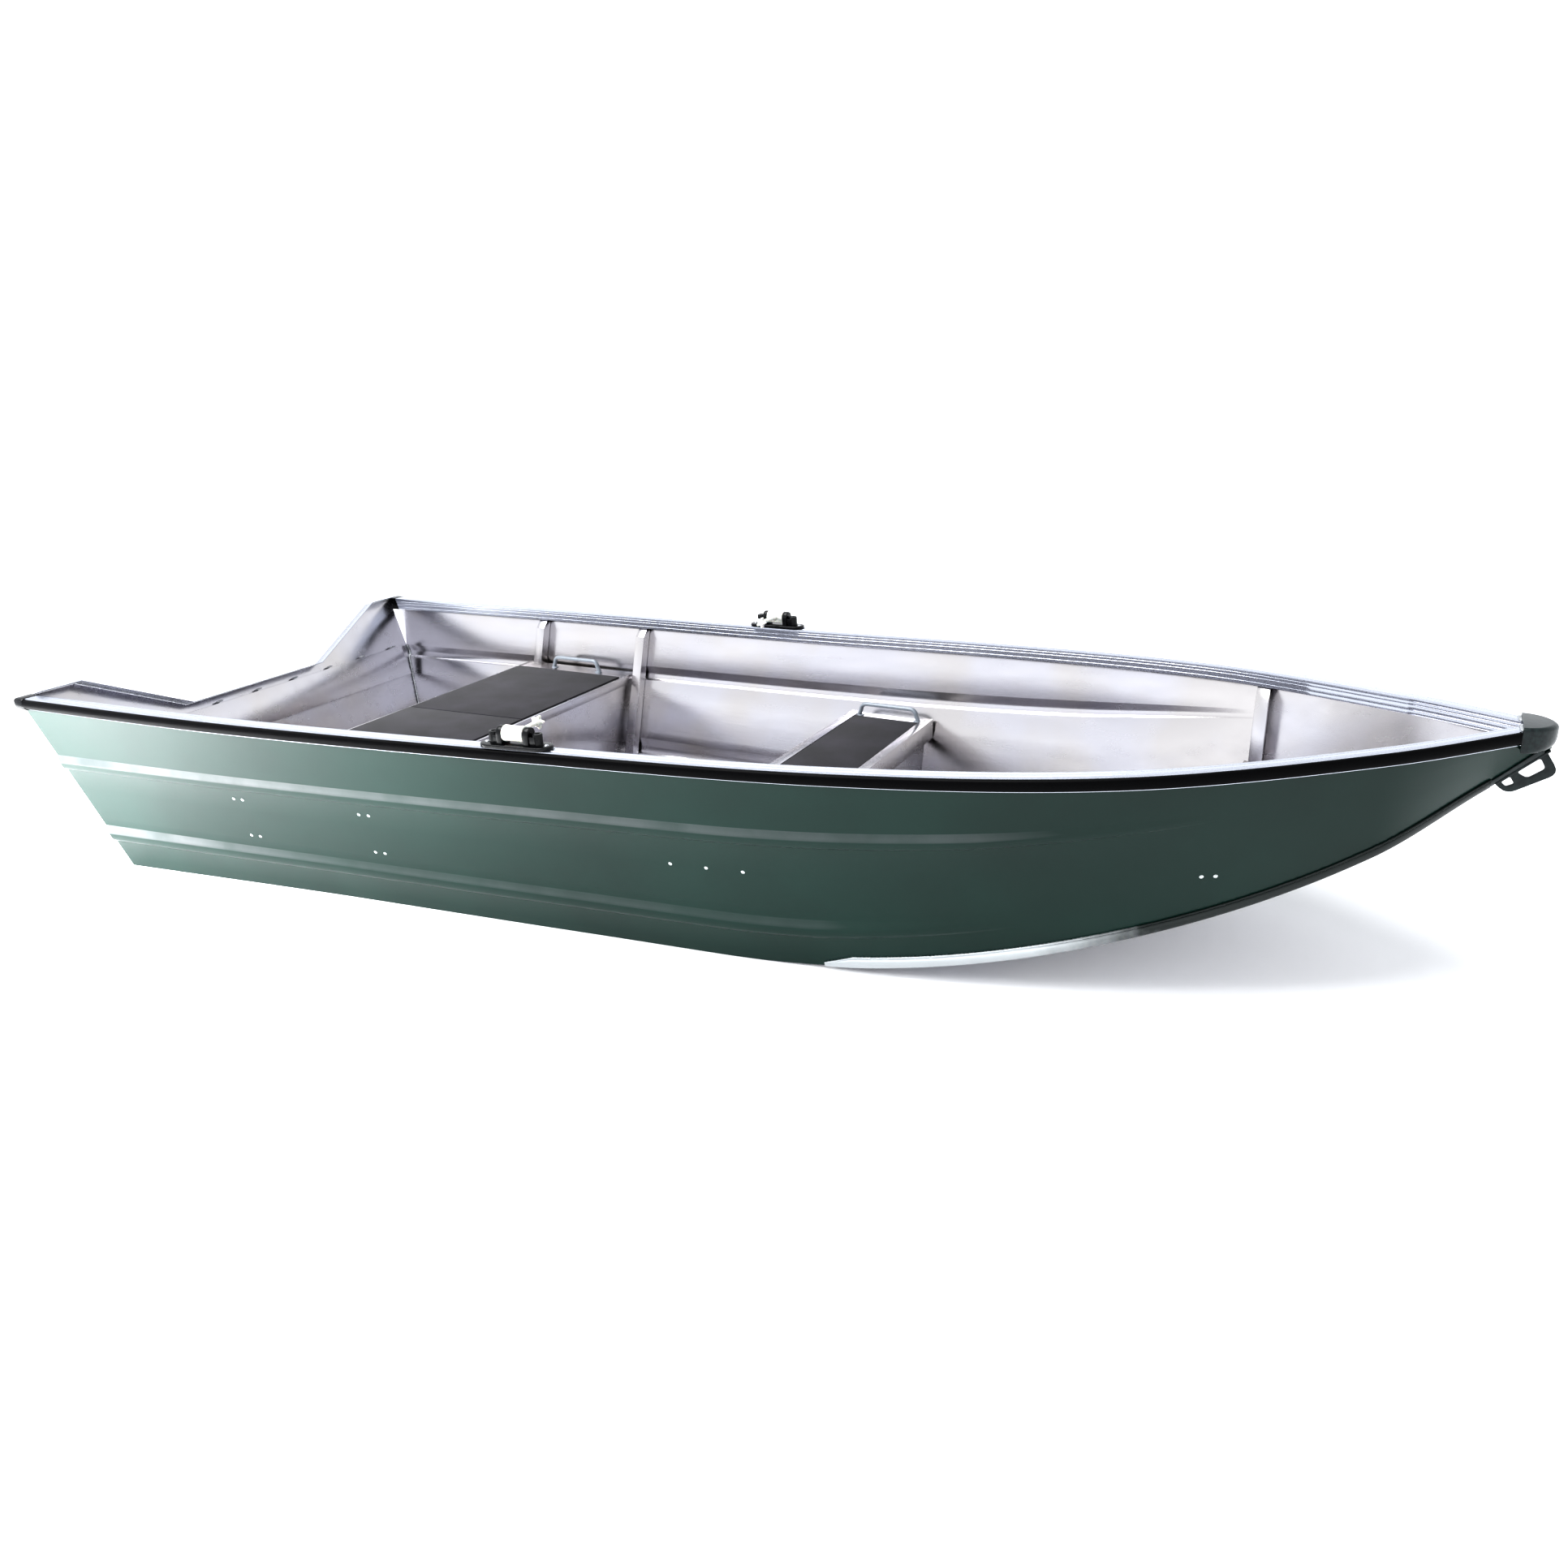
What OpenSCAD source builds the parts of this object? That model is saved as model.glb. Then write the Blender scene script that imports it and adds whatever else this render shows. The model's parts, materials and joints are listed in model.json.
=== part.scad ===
// Open aluminium rowing boat: formed side and bottom sheets, raked transom with a motor cut-out,
// gunwale extrusions with rub rails, box thwarts, frames, folding oar pins and a bow cap.
// +X points to the bow, +Y to port, +Z up. The origin is on the flat bottom at mid length.

/* [Hull] */
// Overall length, from the stern corner caps to the nose of the bow cap
length = 3700; // [2800:10:4800]
// Overall beam over the rub rails
beam = 1524; // [1200:10:1900]
// Height of the gunwale above the flat bottom at the stern
depth = 516; // [430:5:640]
// Extra height of the gunwale at the bow
bow_rise = 76; // [30:2:140]
// Height at which the bottom meets the stem
stem_foot = 459; // [340:5:480]
// Thickness of the side, bottom and transom sheets
sheet = 3; // [2:0.5:5]
// Angle of the transom from upright
rake = 17.5; // [0:0.5:25]

/* [Strakes] */
// How far the pressed strakes stand out of the sides
strake_out = 8; // [3:0.5:14]
// Height of the upper strake, along the side
upper_strake = 46; // [30:1:60]
// Height of the lower strake, along the side
lower_strake = 54; // [30:1:65]

/* [Gunwale] */
// Width of the gunwale's top flange
flange_w = 42; // [34:1:60]
// Depth of the gunwale's inner leg
inner_leg = 38; // [25:1:50]
// Depth of the gunwale's outer leg
outer_leg = 30; // [24:1:40]
// Wall of the gunwale extrusion
gunwale_wall = 3; // [2:0.5:4]
// How far the rub rail stands out of the gunwale
rail_out = 12; // [6:1:20]
// Height of the rub rail
rail_h = 26; // [12:1:28]
// Length of the bow cap along the centreline
cap_len = 70; // [70:1:110]
// Depth of the bow cap's side
cap_depth = 52; // [44:1:70]

/* [Transom] */
// Half width of the motor cut-out at the gunwale
cut_top = 581; // [420:1:620]
// Half width of the motor cut-out at its sill
cut_sill = 265; // [180:1:320]
// Height of the sill above the flat bottom
sill_z = 374; // [340:1:420]
// Width of the folded rim along the transom's top edge
rim_w = 42; // [25:1:60]
// Height of the stiffening board inside the transom
board_h = 108; // [70:1:130]
// Depth of the stiffening board's flanges
board_out = 22; // [12:1:35]
// Radius of the drain plug's shank
drain_r = 12; // [8:0.5:16]

/* [Frames] */
// Width of a frame along the boat
frame_w = 32; // [24:1:45]
// Depth of a frame, inwards from the side
frame_deep = 36; // [20:1:38]
// Distance of the aft frames from the stern
frame_1 = 693; // [660:1:760]
// Distance of the middle frames from the stern
frame_2 = 1112; // [1111:1:1200]
// Distance of the bow frames from the stern
frame_3 = 3090; // [3080:1:3160]

/* [Thwarts] */
// Distance of the aft thwart's rear edge from the stern
aft_start = 644; // [560:1:655]
// Length of the aft thwart along the boat
aft_len = 446; // [300:1:448]
// Height of the aft thwart's top
aft_z = 336; // [280:1:345]
// Distance of the middle thwart's rear edge from the stern
mid_start = 1908; // [1800:1:2100]
// Length of the middle thwart along the boat
mid_len = 264; // [200:1:320]
// Height of the middle thwart's top
mid_z = 300; // [250:1:340]
// Distance of the bow seat's rear edge from the stern
bow_start = 3060; // [3000:1:3090]
// Length of the bow seat along the boat
bow_len = 290; // [150:1:300]
// Height of the bow seat's top
bow_z = 336; // [320:1:370]
// Thickness of the thwart sheets
thwart_sheet = 2.5; // [2:0.5:4]
// Height of the raised rims along the middle thwart
rim_up = 5; // [2:0.5:10]
// Thickness of the seat mats
mat_t = 4; // [3:0.5:8]
// How far the seam between the aft mats lies to port
seam_y = 45; // [-60:1:60]

/* [Handles] */
// Length of a grab handle between its feet
handle_len = 184; // [140:1:220]
// Height of a grab handle
handle_h = 42; // [32:1:60]
// Radius of a grab handle's rod
handle_r = 6; // [4:0.5:8]

/* [Oar pins] */
// Distance of the oar pins from the stern
oar_x = 1620; // [1400:5:1800]
// Length of an oar pin's base along the gunwale
base_len = 184; // [150:1:220]
// Width of an oar pin's base
base_w = 54; // [40:1:60]
// Thickness of an oar pin's base
base_t = 9; // [6:0.5:12]
// Radius of the swivel that carries the pin
swivel_r = 19; // [16:0.5:22]
// Length of the swivel
swivel_len = 54; // [44:1:64]
// Height of the swivel's axis above the gunwale
swivel_z = 32; // [30:0.5:40]
// Radius of the swivel's axle
axle_r = 7; // [5:0.5:9]
// Radius of the oar pin
pin_r = 6; // [4:0.5:8]
// Distance from the swivel's axis to the end of the oar pin
pin_len = 96; // [80:1:120]
// Radius of the star knob
knob_r = 17; // [14:0.5:22]
// Thickness of the star knob
knob_t = 18; // [12:0.5:22]

/* [Bow] */
// Height of the bar along the forward chines
bar_h = 26; // [16:1:34]
// Thickness of the bar along the forward chines
bar_t = 9; // [5:0.5:12]
// Thickness of the bow-eye plate
eye_t = 8; // [5:0.5:12]
// Radius of the rivet heads
rivet_r = 5; // [3:0.5:7]

/* [Hidden] */
$fn = 48;
gap = 0.3;
running = 0.06;
end_cap = 6;
nose = 13;
rail_drop = 2;
hull_len = length - end_cap - nose;
stern = end_cap - length / 2;
half = beam / 2 - rail_out;

// Stations along the hull, as shares of its length, and the half breadths there as shares of the largest.
gunwale_at = [0, 0.2, 0.45, 0.65, 0.8, 0.92, 1];
gunwale_plan = [1, 0.987, 0.905, 0.824, 0.655, 0.325, 0.016];
chine_at = [0, 0.2, 0.45, 0.65, 0.8, 0.92, 0.975, 1];
chine_plan = [0.838, 0.767, 0.685, 0.606, 0.468, 0.265, 0.0105, 0.0105];
lift_from = 0.549;
stem_at = 0.975;
cap_start = 1 - (cap_len - nose) / hull_len;
rows = 38;
cap_rows = 4;
// Even at the stern, closer together towards the bow, with one at the stem and one at the bow cap.
stations = concat(
    [for (i = [0 : rows]) let (t = i / rows) stem_at * t * (1.5 - 0.5 * t)],
    [for (i = [0 : cap_rows]) cap_start + (1 - cap_start) * i / cap_rows]);

function mix(a, b, t) = a + (b - a) * t;
function unit(v) = v / norm(v);
function slope(xs, ys, i) =
    let (a = max(i - 1, 0), b = min(i + 1, len(xs) - 1)) (ys[b] - ys[a]) / (xs[b] - xs[a]);
function bay(xs, x, i = 0) = (i >= len(xs) - 2 || x < xs[i + 1]) ? i : bay(xs, x, i + 1);
// A smooth curve through the values ys at xs.
function faired(xs, ys, x) =
    let (i = bay(xs, x), h = xs[i + 1] - xs[i], t = (x - xs[i]) / h)
    (2 * t * t * t - 3 * t * t + 1) * ys[i] + (t * t * t - 2 * t * t + t) * h * slope(xs, ys, i)
    + (3 * t * t - 2 * t * t * t) * ys[i + 1] + (t * t * t - t * t) * h * slope(xs, ys, i + 1);

// The hull's lines: half breadth and height of the gunwale and of the chine at station s.
function gunwale_y(s) = half * faired(gunwale_at, gunwale_plan, s);
function gunwale_z(s) = depth + bow_rise * pow(s, 3.3);
function chine_y(s) = max(half * (s < stem_at ? faired(chine_at, chine_plan, s) : chine_plan[7]), sheet + 2);
stem_head = depth + bow_rise - cap_depth + 4;
function chine_z(s) =
    s < lift_from ? 0
    : s < stem_at ? stem_foot * pow((s - lift_from) / (stem_at - lift_from), 2.1)
    : mix(stem_foot, stem_head, (s - stem_at) / (1 - stem_at));

// Stations lean with the transom at the stern and stand upright from a quarter of the length on.
function lean(s) = tan(rake) * max(0, 1 - 4 * s);
function at(s, y, z) = [stern + s * hull_len + lean(s) * (depth - z), y, z];
function station_of(x, z) =
    let (r = tan(rake) * (depth - z), s = (x - r) / (hull_len - 4 * r)) s < 0.25 ? s : x / hull_len;

// The side's section: a straight line from under the gunwale's flange to the chine.
tuck = gunwale_wall + gap;
function side_top(s) = [gunwale_y(s) - tuck, gunwale_z(s) - tuck - sheet / 2];
function side_foot(s) = [chine_y(s), chine_z(s)];
function side_up(s) = unit(side_top(s) - side_foot(s));
function side_out(s) = let (u = side_up(s)) [u[1], -u[0]];
function side_len(s) = norm(side_top(s) - side_foot(s));
function side_point(s, down, out) = side_top(s) - side_up(s) * down + side_out(s) * out;
// Half breadth of the side's flat face at x from the stern and height z, moved out by off.
function face_of(s, z, off) =
    let (a = side_top(s), b = side_foot(s), t = (a[1] - z) / (a[1] - b[1])) mix(a[0], b[0], t) + off / side_out(s)[0];
function face(x, z, off) =
    let (s = station_of(x, z), i = bay(stations, s), s0 = stations[i], s1 = stations[i + 1])
    mix(face_of(s0, z, off), face_of(s1, z, off), (s - s0) / (s1 - s0));
function inside(x, z) = face(x, z, -sheet);

function fade(s, from, to) = min(1, max(0, (to - s) / (to - from)));
function upper_down(s) = side_len(s) * (0.322 - 0.062 * s);
function lower_down(s) = side_len(s) * 0.745;
// The side's outer line as [distance down, distance out] pairs, with its two pressed strakes.
function strake(down, h, out) =
    [[down, 0], [down + 0.22 * h, out * 0.8], [down + 0.45 * h, out], [down + 0.75 * h, out * 0.75], [down + h, 0]];
function side_line(s) =
    let (l = side_len(s), share = l / side_len(0))
    concat(
        [[0, 0], [min(inner_leg + 4, 0.2 * l), 0]],
        strake(upper_down(s), upper_strake * share * fade(s, 0.75, 1.1), strake_out * fade(s, 0.72, 0.84)),
        [[0.6 * l, 0]],
        strake(lower_down(s), lower_strake * share * fade(s, 0.6, 1.1), strake_out * fade(s, 0.62, 0.74)),
        [[max(l - bar_h, 0.9 * l), 0], [l, 0]]);

// A solid skinned over closed sections. Each section pairs its first half with its second, reversed.
module skin(sections) {
    n = len(sections[0]);
    last = len(sections) - 1;
    points = [for (section = sections) each section];
    walls = [
        for (i = [0 : last - 1], j = [0 : n - 1])
            let (a = i * n + j, b = i * n + (j + 1) % n, c = b + n, d = a + n)
            each [[a, b, c], [a, c, d]]
    ];
    first_end = [for (j = [0 : n / 2 - 2]) each [[j, n - 2 - j, j + 1], [j, n - 1 - j, n - 2 - j]]];
    last_end = [
        for (j = [0 : n / 2 - 2])
            let (o = last * n)
            each [[o + j, o + j + 1, o + n - 2 - j], [o + j, o + n - 2 - j, o + n - 1 - j]]
    ];
    polyhedron(points, concat(walls, first_end, last_end));
}

// A band along the hull: profile(s) gives its section as [y, z] points.
function placed(s, profile) = [for (p = profile) at(s, p[0], p[1])];
function paired(outer, inner) = concat(outer, [for (i = [len(inner) - 1 : -1 : 0]) inner[i]]);

module both_sides() {
    children();
    mirror([0, 1, 0]) children();
}

module side(hand) {
    if (hand > 0) children();
    else mirror([0, 1, 0]) children();
}

// The transom's own frame: x forward out of its face, z up along it, from the top of the gunwale.
module on_transom() translate([stern, 0, depth]) rotate([0, -rake, 0]) children();
function up_transom(z) = (z - depth) / cos(rake);
module across(x0, x1, points) translate([x0, 0, 0]) rotate([90, 0, 90]) linear_extrude(x1 - x0) polygon(points);

// ---- Shell ----

function sheet_section(s) =
    placed(s, paired([for (p = side_line(s)) side_point(s, p[0], p[1])],
                     [for (p = side_line(s)) side_point(s, p[0], p[1] - sheet)]));

module side_sheet() skin([for (s = stations) sheet_section(s)]);
module port_side_sheet() color("#5C7A70") side_sheet();
module starboard_side_sheet() color("#5C7A70") side(-1) side_sheet();

function bottom_section(s) =
    let (w = chine_y(s) - sheet / side_out(s)[0] - gap, z = chine_z(s))
    placed(s, [[w, z], [-w, z], [-w, z + sheet], [w, z + sheet]]);

module bottom_sheet() color("#C9CDD0") skin([for (s = stations) if (s < stem_at - 0.004) bottom_section(s)]);

// The transom plate lies inside the side sheets, clear of them through its thickness, and stands on the bottom.
edge_room = gap + sheet * sin(rake);
function transom_edge() =
    [for (p = side_line(0)) if (p[0] > inner_leg + 4) let (q = side_point(0, p[0], p[1] - sheet - edge_room))
        [q[0], up_transom(max(q[1], sheet + 2 * gap + sheet * sin(rake)))]];
rim_top = -thwart_sheet - gap;
corner_y = half - flange_w - gap;
leg_foot = -(inner_leg + gap) / cos(rake) - sheet * tan(rake);
cut_line = [[cut_top, 0], [cut_sill, up_transom(sill_z)]];
function transom_outline() =
    let (e = transom_edge(), right = concat([[cut_sill, cut_line[1][1] + rim_top], [cut_top, rim_top],
        [corner_y, rim_top], [corner_y, leg_foot], [e[0][0], leg_foot]], e))
    concat(right, [for (i = [len(right) - 1 : -1 : 0]) [-right[i][0], right[i][1]]]);
drain_z = up_transom(46);

module transom() color("#B9B4AA") on_transom() difference() {
    across(0, sheet, transom_outline());
    translate([-1, 0, drain_z]) rotate([0, 90, 0]) cylinder(r = drain_r + 3 + gap, h = sheet + 2);
}

// The folded rim follows the transom's top edge: level, down the cut-out's sides and along its sill.
module transom_rim() {
    top = [[corner_y - gap, 0], [cut_top, 0], [cut_sill, cut_line[1][1]]];
    all = concat(top, [for (i = [2 : -1 : 0]) [-top[i][0], top[i][1]]]);
    under = [for (p = all) [p[0], p[1] - thwart_sheet]];
    color("#D7DADC") on_transom() across(0, rim_w, paired(all, under));
}

// A folded board stiffens the transom under the cut-out, tacked along its top edge.
board_top = up_transom(sill_z - 26);
board_foot = sill_z - board_h - 26;
board_y = inside(tan(rake) * (depth - board_foot) + 2 * board_out, board_foot) - 24;
module transom_board() {
    t = thwart_sheet;
    x0 = sheet + gap;
    outer = [[x0, board_top], [x0 + board_out, board_top], [x0 + board_out, board_top - board_h],
             [x0, board_top - board_h]];
    inner = [[x0, board_top - t], [x0 + board_out - t, board_top - t],
             [x0 + board_out - t, board_top - board_h + t], [x0, board_top - board_h + t]];
    color("#C4C6C8") on_transom() translate([0, board_y, 0]) rotate([90, 0, 0])
        linear_extrude(2 * board_y) polygon(paired(outer, inner));
}

// ---- Gunwale ----

function gunwale_section(s) =
    let (y = gunwale_y(s), z = gunwale_z(s), w = gunwale_wall)
    placed(s, paired([[y, z - outer_leg], [y, z], [y - flange_w, z], [y - flange_w, z - inner_leg]],
                     [[y - w, z - outer_leg], [y - w, z - w], [y - flange_w + w, z - w],
                      [y - flange_w + w, z - inner_leg]]));
rail_end = cap_start - gap / hull_len;
rail_stations = concat([for (s = stations) if (s < cap_start - 0.001) s], [rail_end]);

module gunwale() skin([for (s = rail_stations) gunwale_section(s)]);
module port_gunwale() color("#DCE1E8") gunwale();
module starboard_gunwale() color("#DCE1E8") side(-1) gunwale();

// The rub rail is a D section on the gunwale's outer leg.
function rail_section(s) =
    let (y = gunwale_y(s) + gap, z = gunwale_z(s) - rail_drop, r = rail_h / 2, d = rail_out - gap)
    placed(s, concat([for (i = [0 : 5]) let (a = 80 - 32 * i) [y + d * cos(a), z - r + r * sin(a)]],
                     [for (i = [0 : 5]) [y, z - r * (1.8 - 0.32 * i)]]));
module rub_rail() skin([for (s = rail_stations) rail_section(s)]);
module port_rub_rail() color("#17181A") rub_rail();
module starboard_rub_rail() color("#17181A") side(-1) rub_rail();

// A thin plug closes the stern end of each gunwale.
module corner_cap() on_transom() {
    z0 = leg_foot;
    across(-end_cap, -gap, [[half - flange_w, 0], [half, 0], [half + rail_out * 0.8, -rail_drop - 0.1 * rail_h],
        [half + rail_out, -rail_drop - 0.5 * rail_h], [half + rail_out * 0.8, -rail_drop - 0.9 * rail_h],
        [half, -outer_leg], [half - flange_w, z0]]);
}
module stern_corner_caps() color("#1B1C1E") both_sides() corner_cap();

// ---- Bow ----

module chine_bar() {
    lift = 3;
    bar_gap = 2 * gap;
    skin([for (s = stations) if (s > 0.62 && s < stem_at - 0.01)
        placed(s, let (l = side_len(s)) [side_point(s, l - bar_h, bar_gap), side_point(s, l - bar_h, bar_t),
            side_point(s, l + lift, bar_t), side_point(s, l + lift, bar_gap)])]);
}
module port_chine_bar() color("#B4B8BA") chine_bar();
module starboard_chine_bar() color("#B4B8BA") side(-1) chine_bar();

// The stem bar runs up the centreline from the chine bars to the bow cap.
stem_x = stern + stem_at * hull_len;
stem_run = (1 - stem_at) * hull_len;
stem_angle = atan2(stem_head - stem_foot, stem_run);
module on_stem() translate([stem_x, 0, stem_foot]) rotate([0, -stem_angle, 0]) children();
stem_len = norm([stem_head - stem_foot, stem_run]);
stem_half = chine_plan[7] * half + bar_t / 2;
stem_t = 5;
module stem_bar() color("#2E3A36") on_stem()
    translate([2, -stem_half, -stem_t - gap]) cube([stem_len - 6, 2 * stem_half, stem_t]);

// An outline with every corner cut back by its own distance and rounded; a corner cut back by 0 stays sharp.
function eased(points, cuts) =
    let (n = len(points))
    [for (i = [0 : n - 1])
        let (b = points[i], c = cuts[i],
            p = b + unit(points[(i + n - 1) % n] - b) * c, q = b + unit(points[(i + 1) % n] - b) * c)
        each c == 0 ? [b] : [for (t = [0 : 0.25 : 1]) (1 - t) * (1 - t) * p + 2 * t * (1 - t) * b + t * t * q]];

// The eye plate hangs from the stem bar and has two windows.
module eye_plate() {
    z0 = -stem_t - 2 * gap;
    end = stem_len - 12;
    color("#24302D") on_stem() translate([0, eye_t / 2, 0]) rotate([90, 0, 0]) linear_extrude(eye_t)
        difference() {
            polygon(eased([[0, z0], [4, -34], [end - 8.5, -53.3], [end, z0]], [0, 18, 20, 0]));
            polygon(eased([[46, z0 - 2], [end - 16, z0 - 2], [end - 22, -31], [53, -28]], [6, 6, 7, 7]));
            polygon(eased([[11, z0 - 2], [31, z0 - 2], [28, -24], [12, -20]], [4, 3, 4, 4]));
        }
}

// The bow cap is a casting that closes over both gunwales.
cap_x = stern + cap_start * hull_len;
cap_top = depth + bow_rise + 3;
cap_span = cap_len - nose;
cap_front = cap_span + nose - 5;
cap_wide = gunwale_y(cap_start) + rail_out / 2;
cap_plan = [for (i = [-10 : 10]) let (t = 1 - abs(i) / 10) [cap_front * t, sign(i) * cap_wide * (1 - t * t)]];
cap_side = [[0, 0], [cap_front - 10, 0], [cap_front - 3, 8], [cap_front, 20], [cap_front, cap_depth - 10],
    [cap_front - 4, cap_depth], [0, cap_depth]];
function cap_half(x) = gunwale_y(cap_start + x / hull_len) - tuck + 2 * gap;
cap_room = concat([[-1, cap_half(0)]], [for (i = [0 : 6]) let (x = cap_span * i / 6) [x, cap_half(x)]],
    [[cap_span + 1, cap_half(cap_span)]]);
module bow_cap() color("#232C2B") translate([cap_x, 0, cap_top - cap_depth]) difference() {
    intersection() {
        linear_extrude(cap_depth) polygon(cap_plan);
        translate([0, half, 0]) rotate([90, 0, 0]) linear_extrude(2 * half) polygon(cap_side);
    }
    translate([0, 0, -1]) linear_extrude(cap_depth - 2)
        polygon(concat(cap_room, [for (i = [len(cap_room) - 1 : -1 : 0]) [cap_room[i][0], -cap_room[i][1]]]));
}

// ---- Frames ----

seat = 0.8;

function frame_section(x, z, deep) =
    let (t = thwart_sheet, a = inside(x, z) - seat, b = inside(x + frame_w, z) - seat,
         c = inside(x + t, z) - seat, d = inside(x + frame_w - t, z) - seat, x0 = stern + x, x1 = x0 + frame_w)
    paired([[x0, a, z], [x0, a - deep, z], [x1, b - deep, z], [x1, b, z]],
           [[x0 + t, c, z], [x0 + t, c - deep + t, z], [x1 - t, d - deep + t, z], [x1 - t, d, z]]);

module frame_pair(x, foot) {
    top = gunwale_z(station_of(x, depth)) - inner_leg - gap;
    both_sides() skin([
        frame_section(x - frame_w / 2, foot, frame_deep),
        frame_section(x - frame_w / 2, top - 24, frame_deep),
        frame_section(x - frame_w / 2, top, frame_deep * 0.5)]);
}
module aft_frames() color("#C3C7CC") frame_pair(frame_1, aft_z + gap);
module middle_frames() color("#C3C7CC") frame_pair(frame_2, floor_at(frame_2));
module bow_frames() color("#C3C7CC") frame_pair(frame_3, bow_z + gap);

// ---- Thwarts ----

// A plan that follows the sides between two distances from the stern, with a clearance at its ends.
function plan(x0, x1, z, off, n = 1) =
    let (right = [for (i = [0 : n]) let (x = mix(x0, x1, i / n)) [stern + x, inside(x, z) - off]])
    concat(right, [for (i = [n : -1 : 0]) [right[i][0], -right[i][1]]]);

// A thwart's top: rims along its front and rear edges and lips folded down.
module thwart_top(x0, len, z, rim, up, lip) {
    t = thwart_sheet;
    a = stern + x0;
    b = a + len;
    low = z - lip;
    intersection() {
        translate([0, half, 0]) rotate([90, 0, 0]) linear_extrude(2 * half)
            polygon(concat(
                [[a, low], [a, z + up], [a + rim, z + up], [a + rim, z], [b - rim, z], [b - rim, z + up]],
                [[b, z + up], [b, low], [b - t, low], [b - t, z + up - t], [b - rim + t, z + up - t]],
                [[b - rim + t, z - t], [a + rim - t, z - t], [a + rim - t, z + up - t]],
                [[a + t, z + up - t], [a + t, low]]));
        translate([0, 0, low - 1]) linear_extrude(lip + up + 2)
            polygon(plan(x0 - 1, x0 + len + 1, low, 2 * gap));
    }
}

// The floor rises towards the bow, so what stands on it takes its foot from its forward edge.
function floor_at(x) = chine_z(station_of(x, 0)) + sheet + gap;

// An upright panel between the side sheets, from the bottom to the thwart top over it.
module panel(x, top) {
    t = thwart_sheet;
    foot = floor_at(x + t + 2);
    head = top - t - gap;
    y0 = min(inside(x, foot), inside(x + t, foot)) - 2 * gap;
    y1 = min(inside(x, head), inside(x + t, head)) - 2 * gap;
    translate([stern, 0, 0]) across(x, x + t, [[y0, foot], [y1, head], [-y1, head], [-y0, foot]]);
}

module foam(x0, len, top) {
    foot = floor_at(x0 + len + 2);
    head = top - foam_room;
    y0 = inside(x0, foot) - 14;
    y1 = inside(x0 + len, foot) - 14;
    translate([0, 0, foot]) linear_extrude(head - foot)
        polygon([[stern + x0, min(y0, y1)], [stern + x0 + len, min(y0, y1)],
                 [stern + x0 + len, -min(y0, y1)], [stern + x0, -min(y0, y1)]]);
}

inset = 6;
foam_room = 12;
module aft_thwart_top() color("#CDD1D4") thwart_top(aft_start, aft_len, aft_z, 10, 1, 28);
module aft_thwart_front() color("#BEB8AE")
    panel(aft_start + aft_len - inset, aft_z);
module aft_thwart_rear() color("#BEB8AE")
    panel(aft_start + inset - thwart_sheet, aft_z);
module aft_foam() color("#E9E4D6")
    foam(aft_start + inset + gap, aft_len - 2 * inset - 2 * gap, aft_z);

module mat(x0, x1, y0, y1, z) {
    a = stern + x0;
    b = stern + x1;
    translate([0, 0, z + gap / 3]) linear_extrude(mat_t) polygon([[a, y0[0]], [b, y0[1]], [b, y1[1]], [a, y1[0]]]);
}
aft_mat_margin = 90;
module aft_mats() {
    x0 = aft_start + 12;
    x1 = aft_start + aft_len - 12;
    e0 = inside(x0, aft_z) - aft_mat_margin;
    e1 = inside(x1, aft_z) - aft_mat_margin;
    color("#3B3A40") {
        mat(x0, x1, [seam_y + 1.5, seam_y + 1.5], [e0, e1], aft_z);
        mat(x0, x1, [-e0, -e1], [seam_y - 1.5, seam_y - 1.5], aft_z);
    }
}

foot_r = handle_r + 5;
mid_rim = (mid_len - handle_len) / 2 - foot_r - gap;
module middle_thwart_top() color("#D5D8DB") thwart_top(mid_start, mid_len, mid_z, mid_rim, rim_up, 52);
module middle_thwart_front() color("#A79D93")
    panel(mid_start + mid_len - mid_rim, mid_z);
module middle_thwart_rear() color("#A79D93")
    panel(mid_start + mid_rim, mid_z);
module middle_foam() color("#E9E4D6")
    foam(mid_start + mid_rim + thwart_sheet + gap, mid_len - 2 * mid_rim - thwart_sheet - 2 * gap, mid_z);
mid_mat_margin = 64;
module middle_mat() {
    x0 = mid_start + mid_rim + 1;
    x1 = mid_start + mid_len - mid_rim - 1;
    e0 = inside(x0, mid_z) - mid_mat_margin;
    e1 = inside(x1, mid_z) - mid_mat_margin;
    color("#333238") mat(x0, x1, [-e0, -e1], [e0, e1], mid_z);
}

module bow_seat() color("#BFC3C6") translate([0, 0, bow_z - thwart_sheet]) linear_extrude(thwart_sheet)
    polygon(plan(bow_start, bow_start + bow_len, bow_z - thwart_sheet, 2 * gap, 4));
module bow_panel() color("#6D6A66") panel(bow_start + inset, bow_z);

// ---- Grab handles ----

// A rod bent at two corners, on round feet.
module handle_rod() {
    bend = 2.4 * handle_r;
    run = handle_len - 2 * bend;
    leg = handle_h - bend - handle_r;
    for (end = [-1, 1]) {
        translate([end * handle_len / 2, 0, 0]) cylinder(r = handle_r, h = leg);
        translate([end * run / 2, 0, leg]) rotate([90, 0, 0]) rotate([0, 0, end > 0 ? 0 : 90])
            rotate_extrude(angle = 90) translate([bend, 0]) circle(handle_r);
        translate([end * handle_len / 2, 0, 0]) cylinder(r = foot_r, h = 3);
    }
    translate([-run / 2, 0, leg + bend]) rotate([0, 90, 0]) cylinder(r = handle_r, h = run);
}

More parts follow.
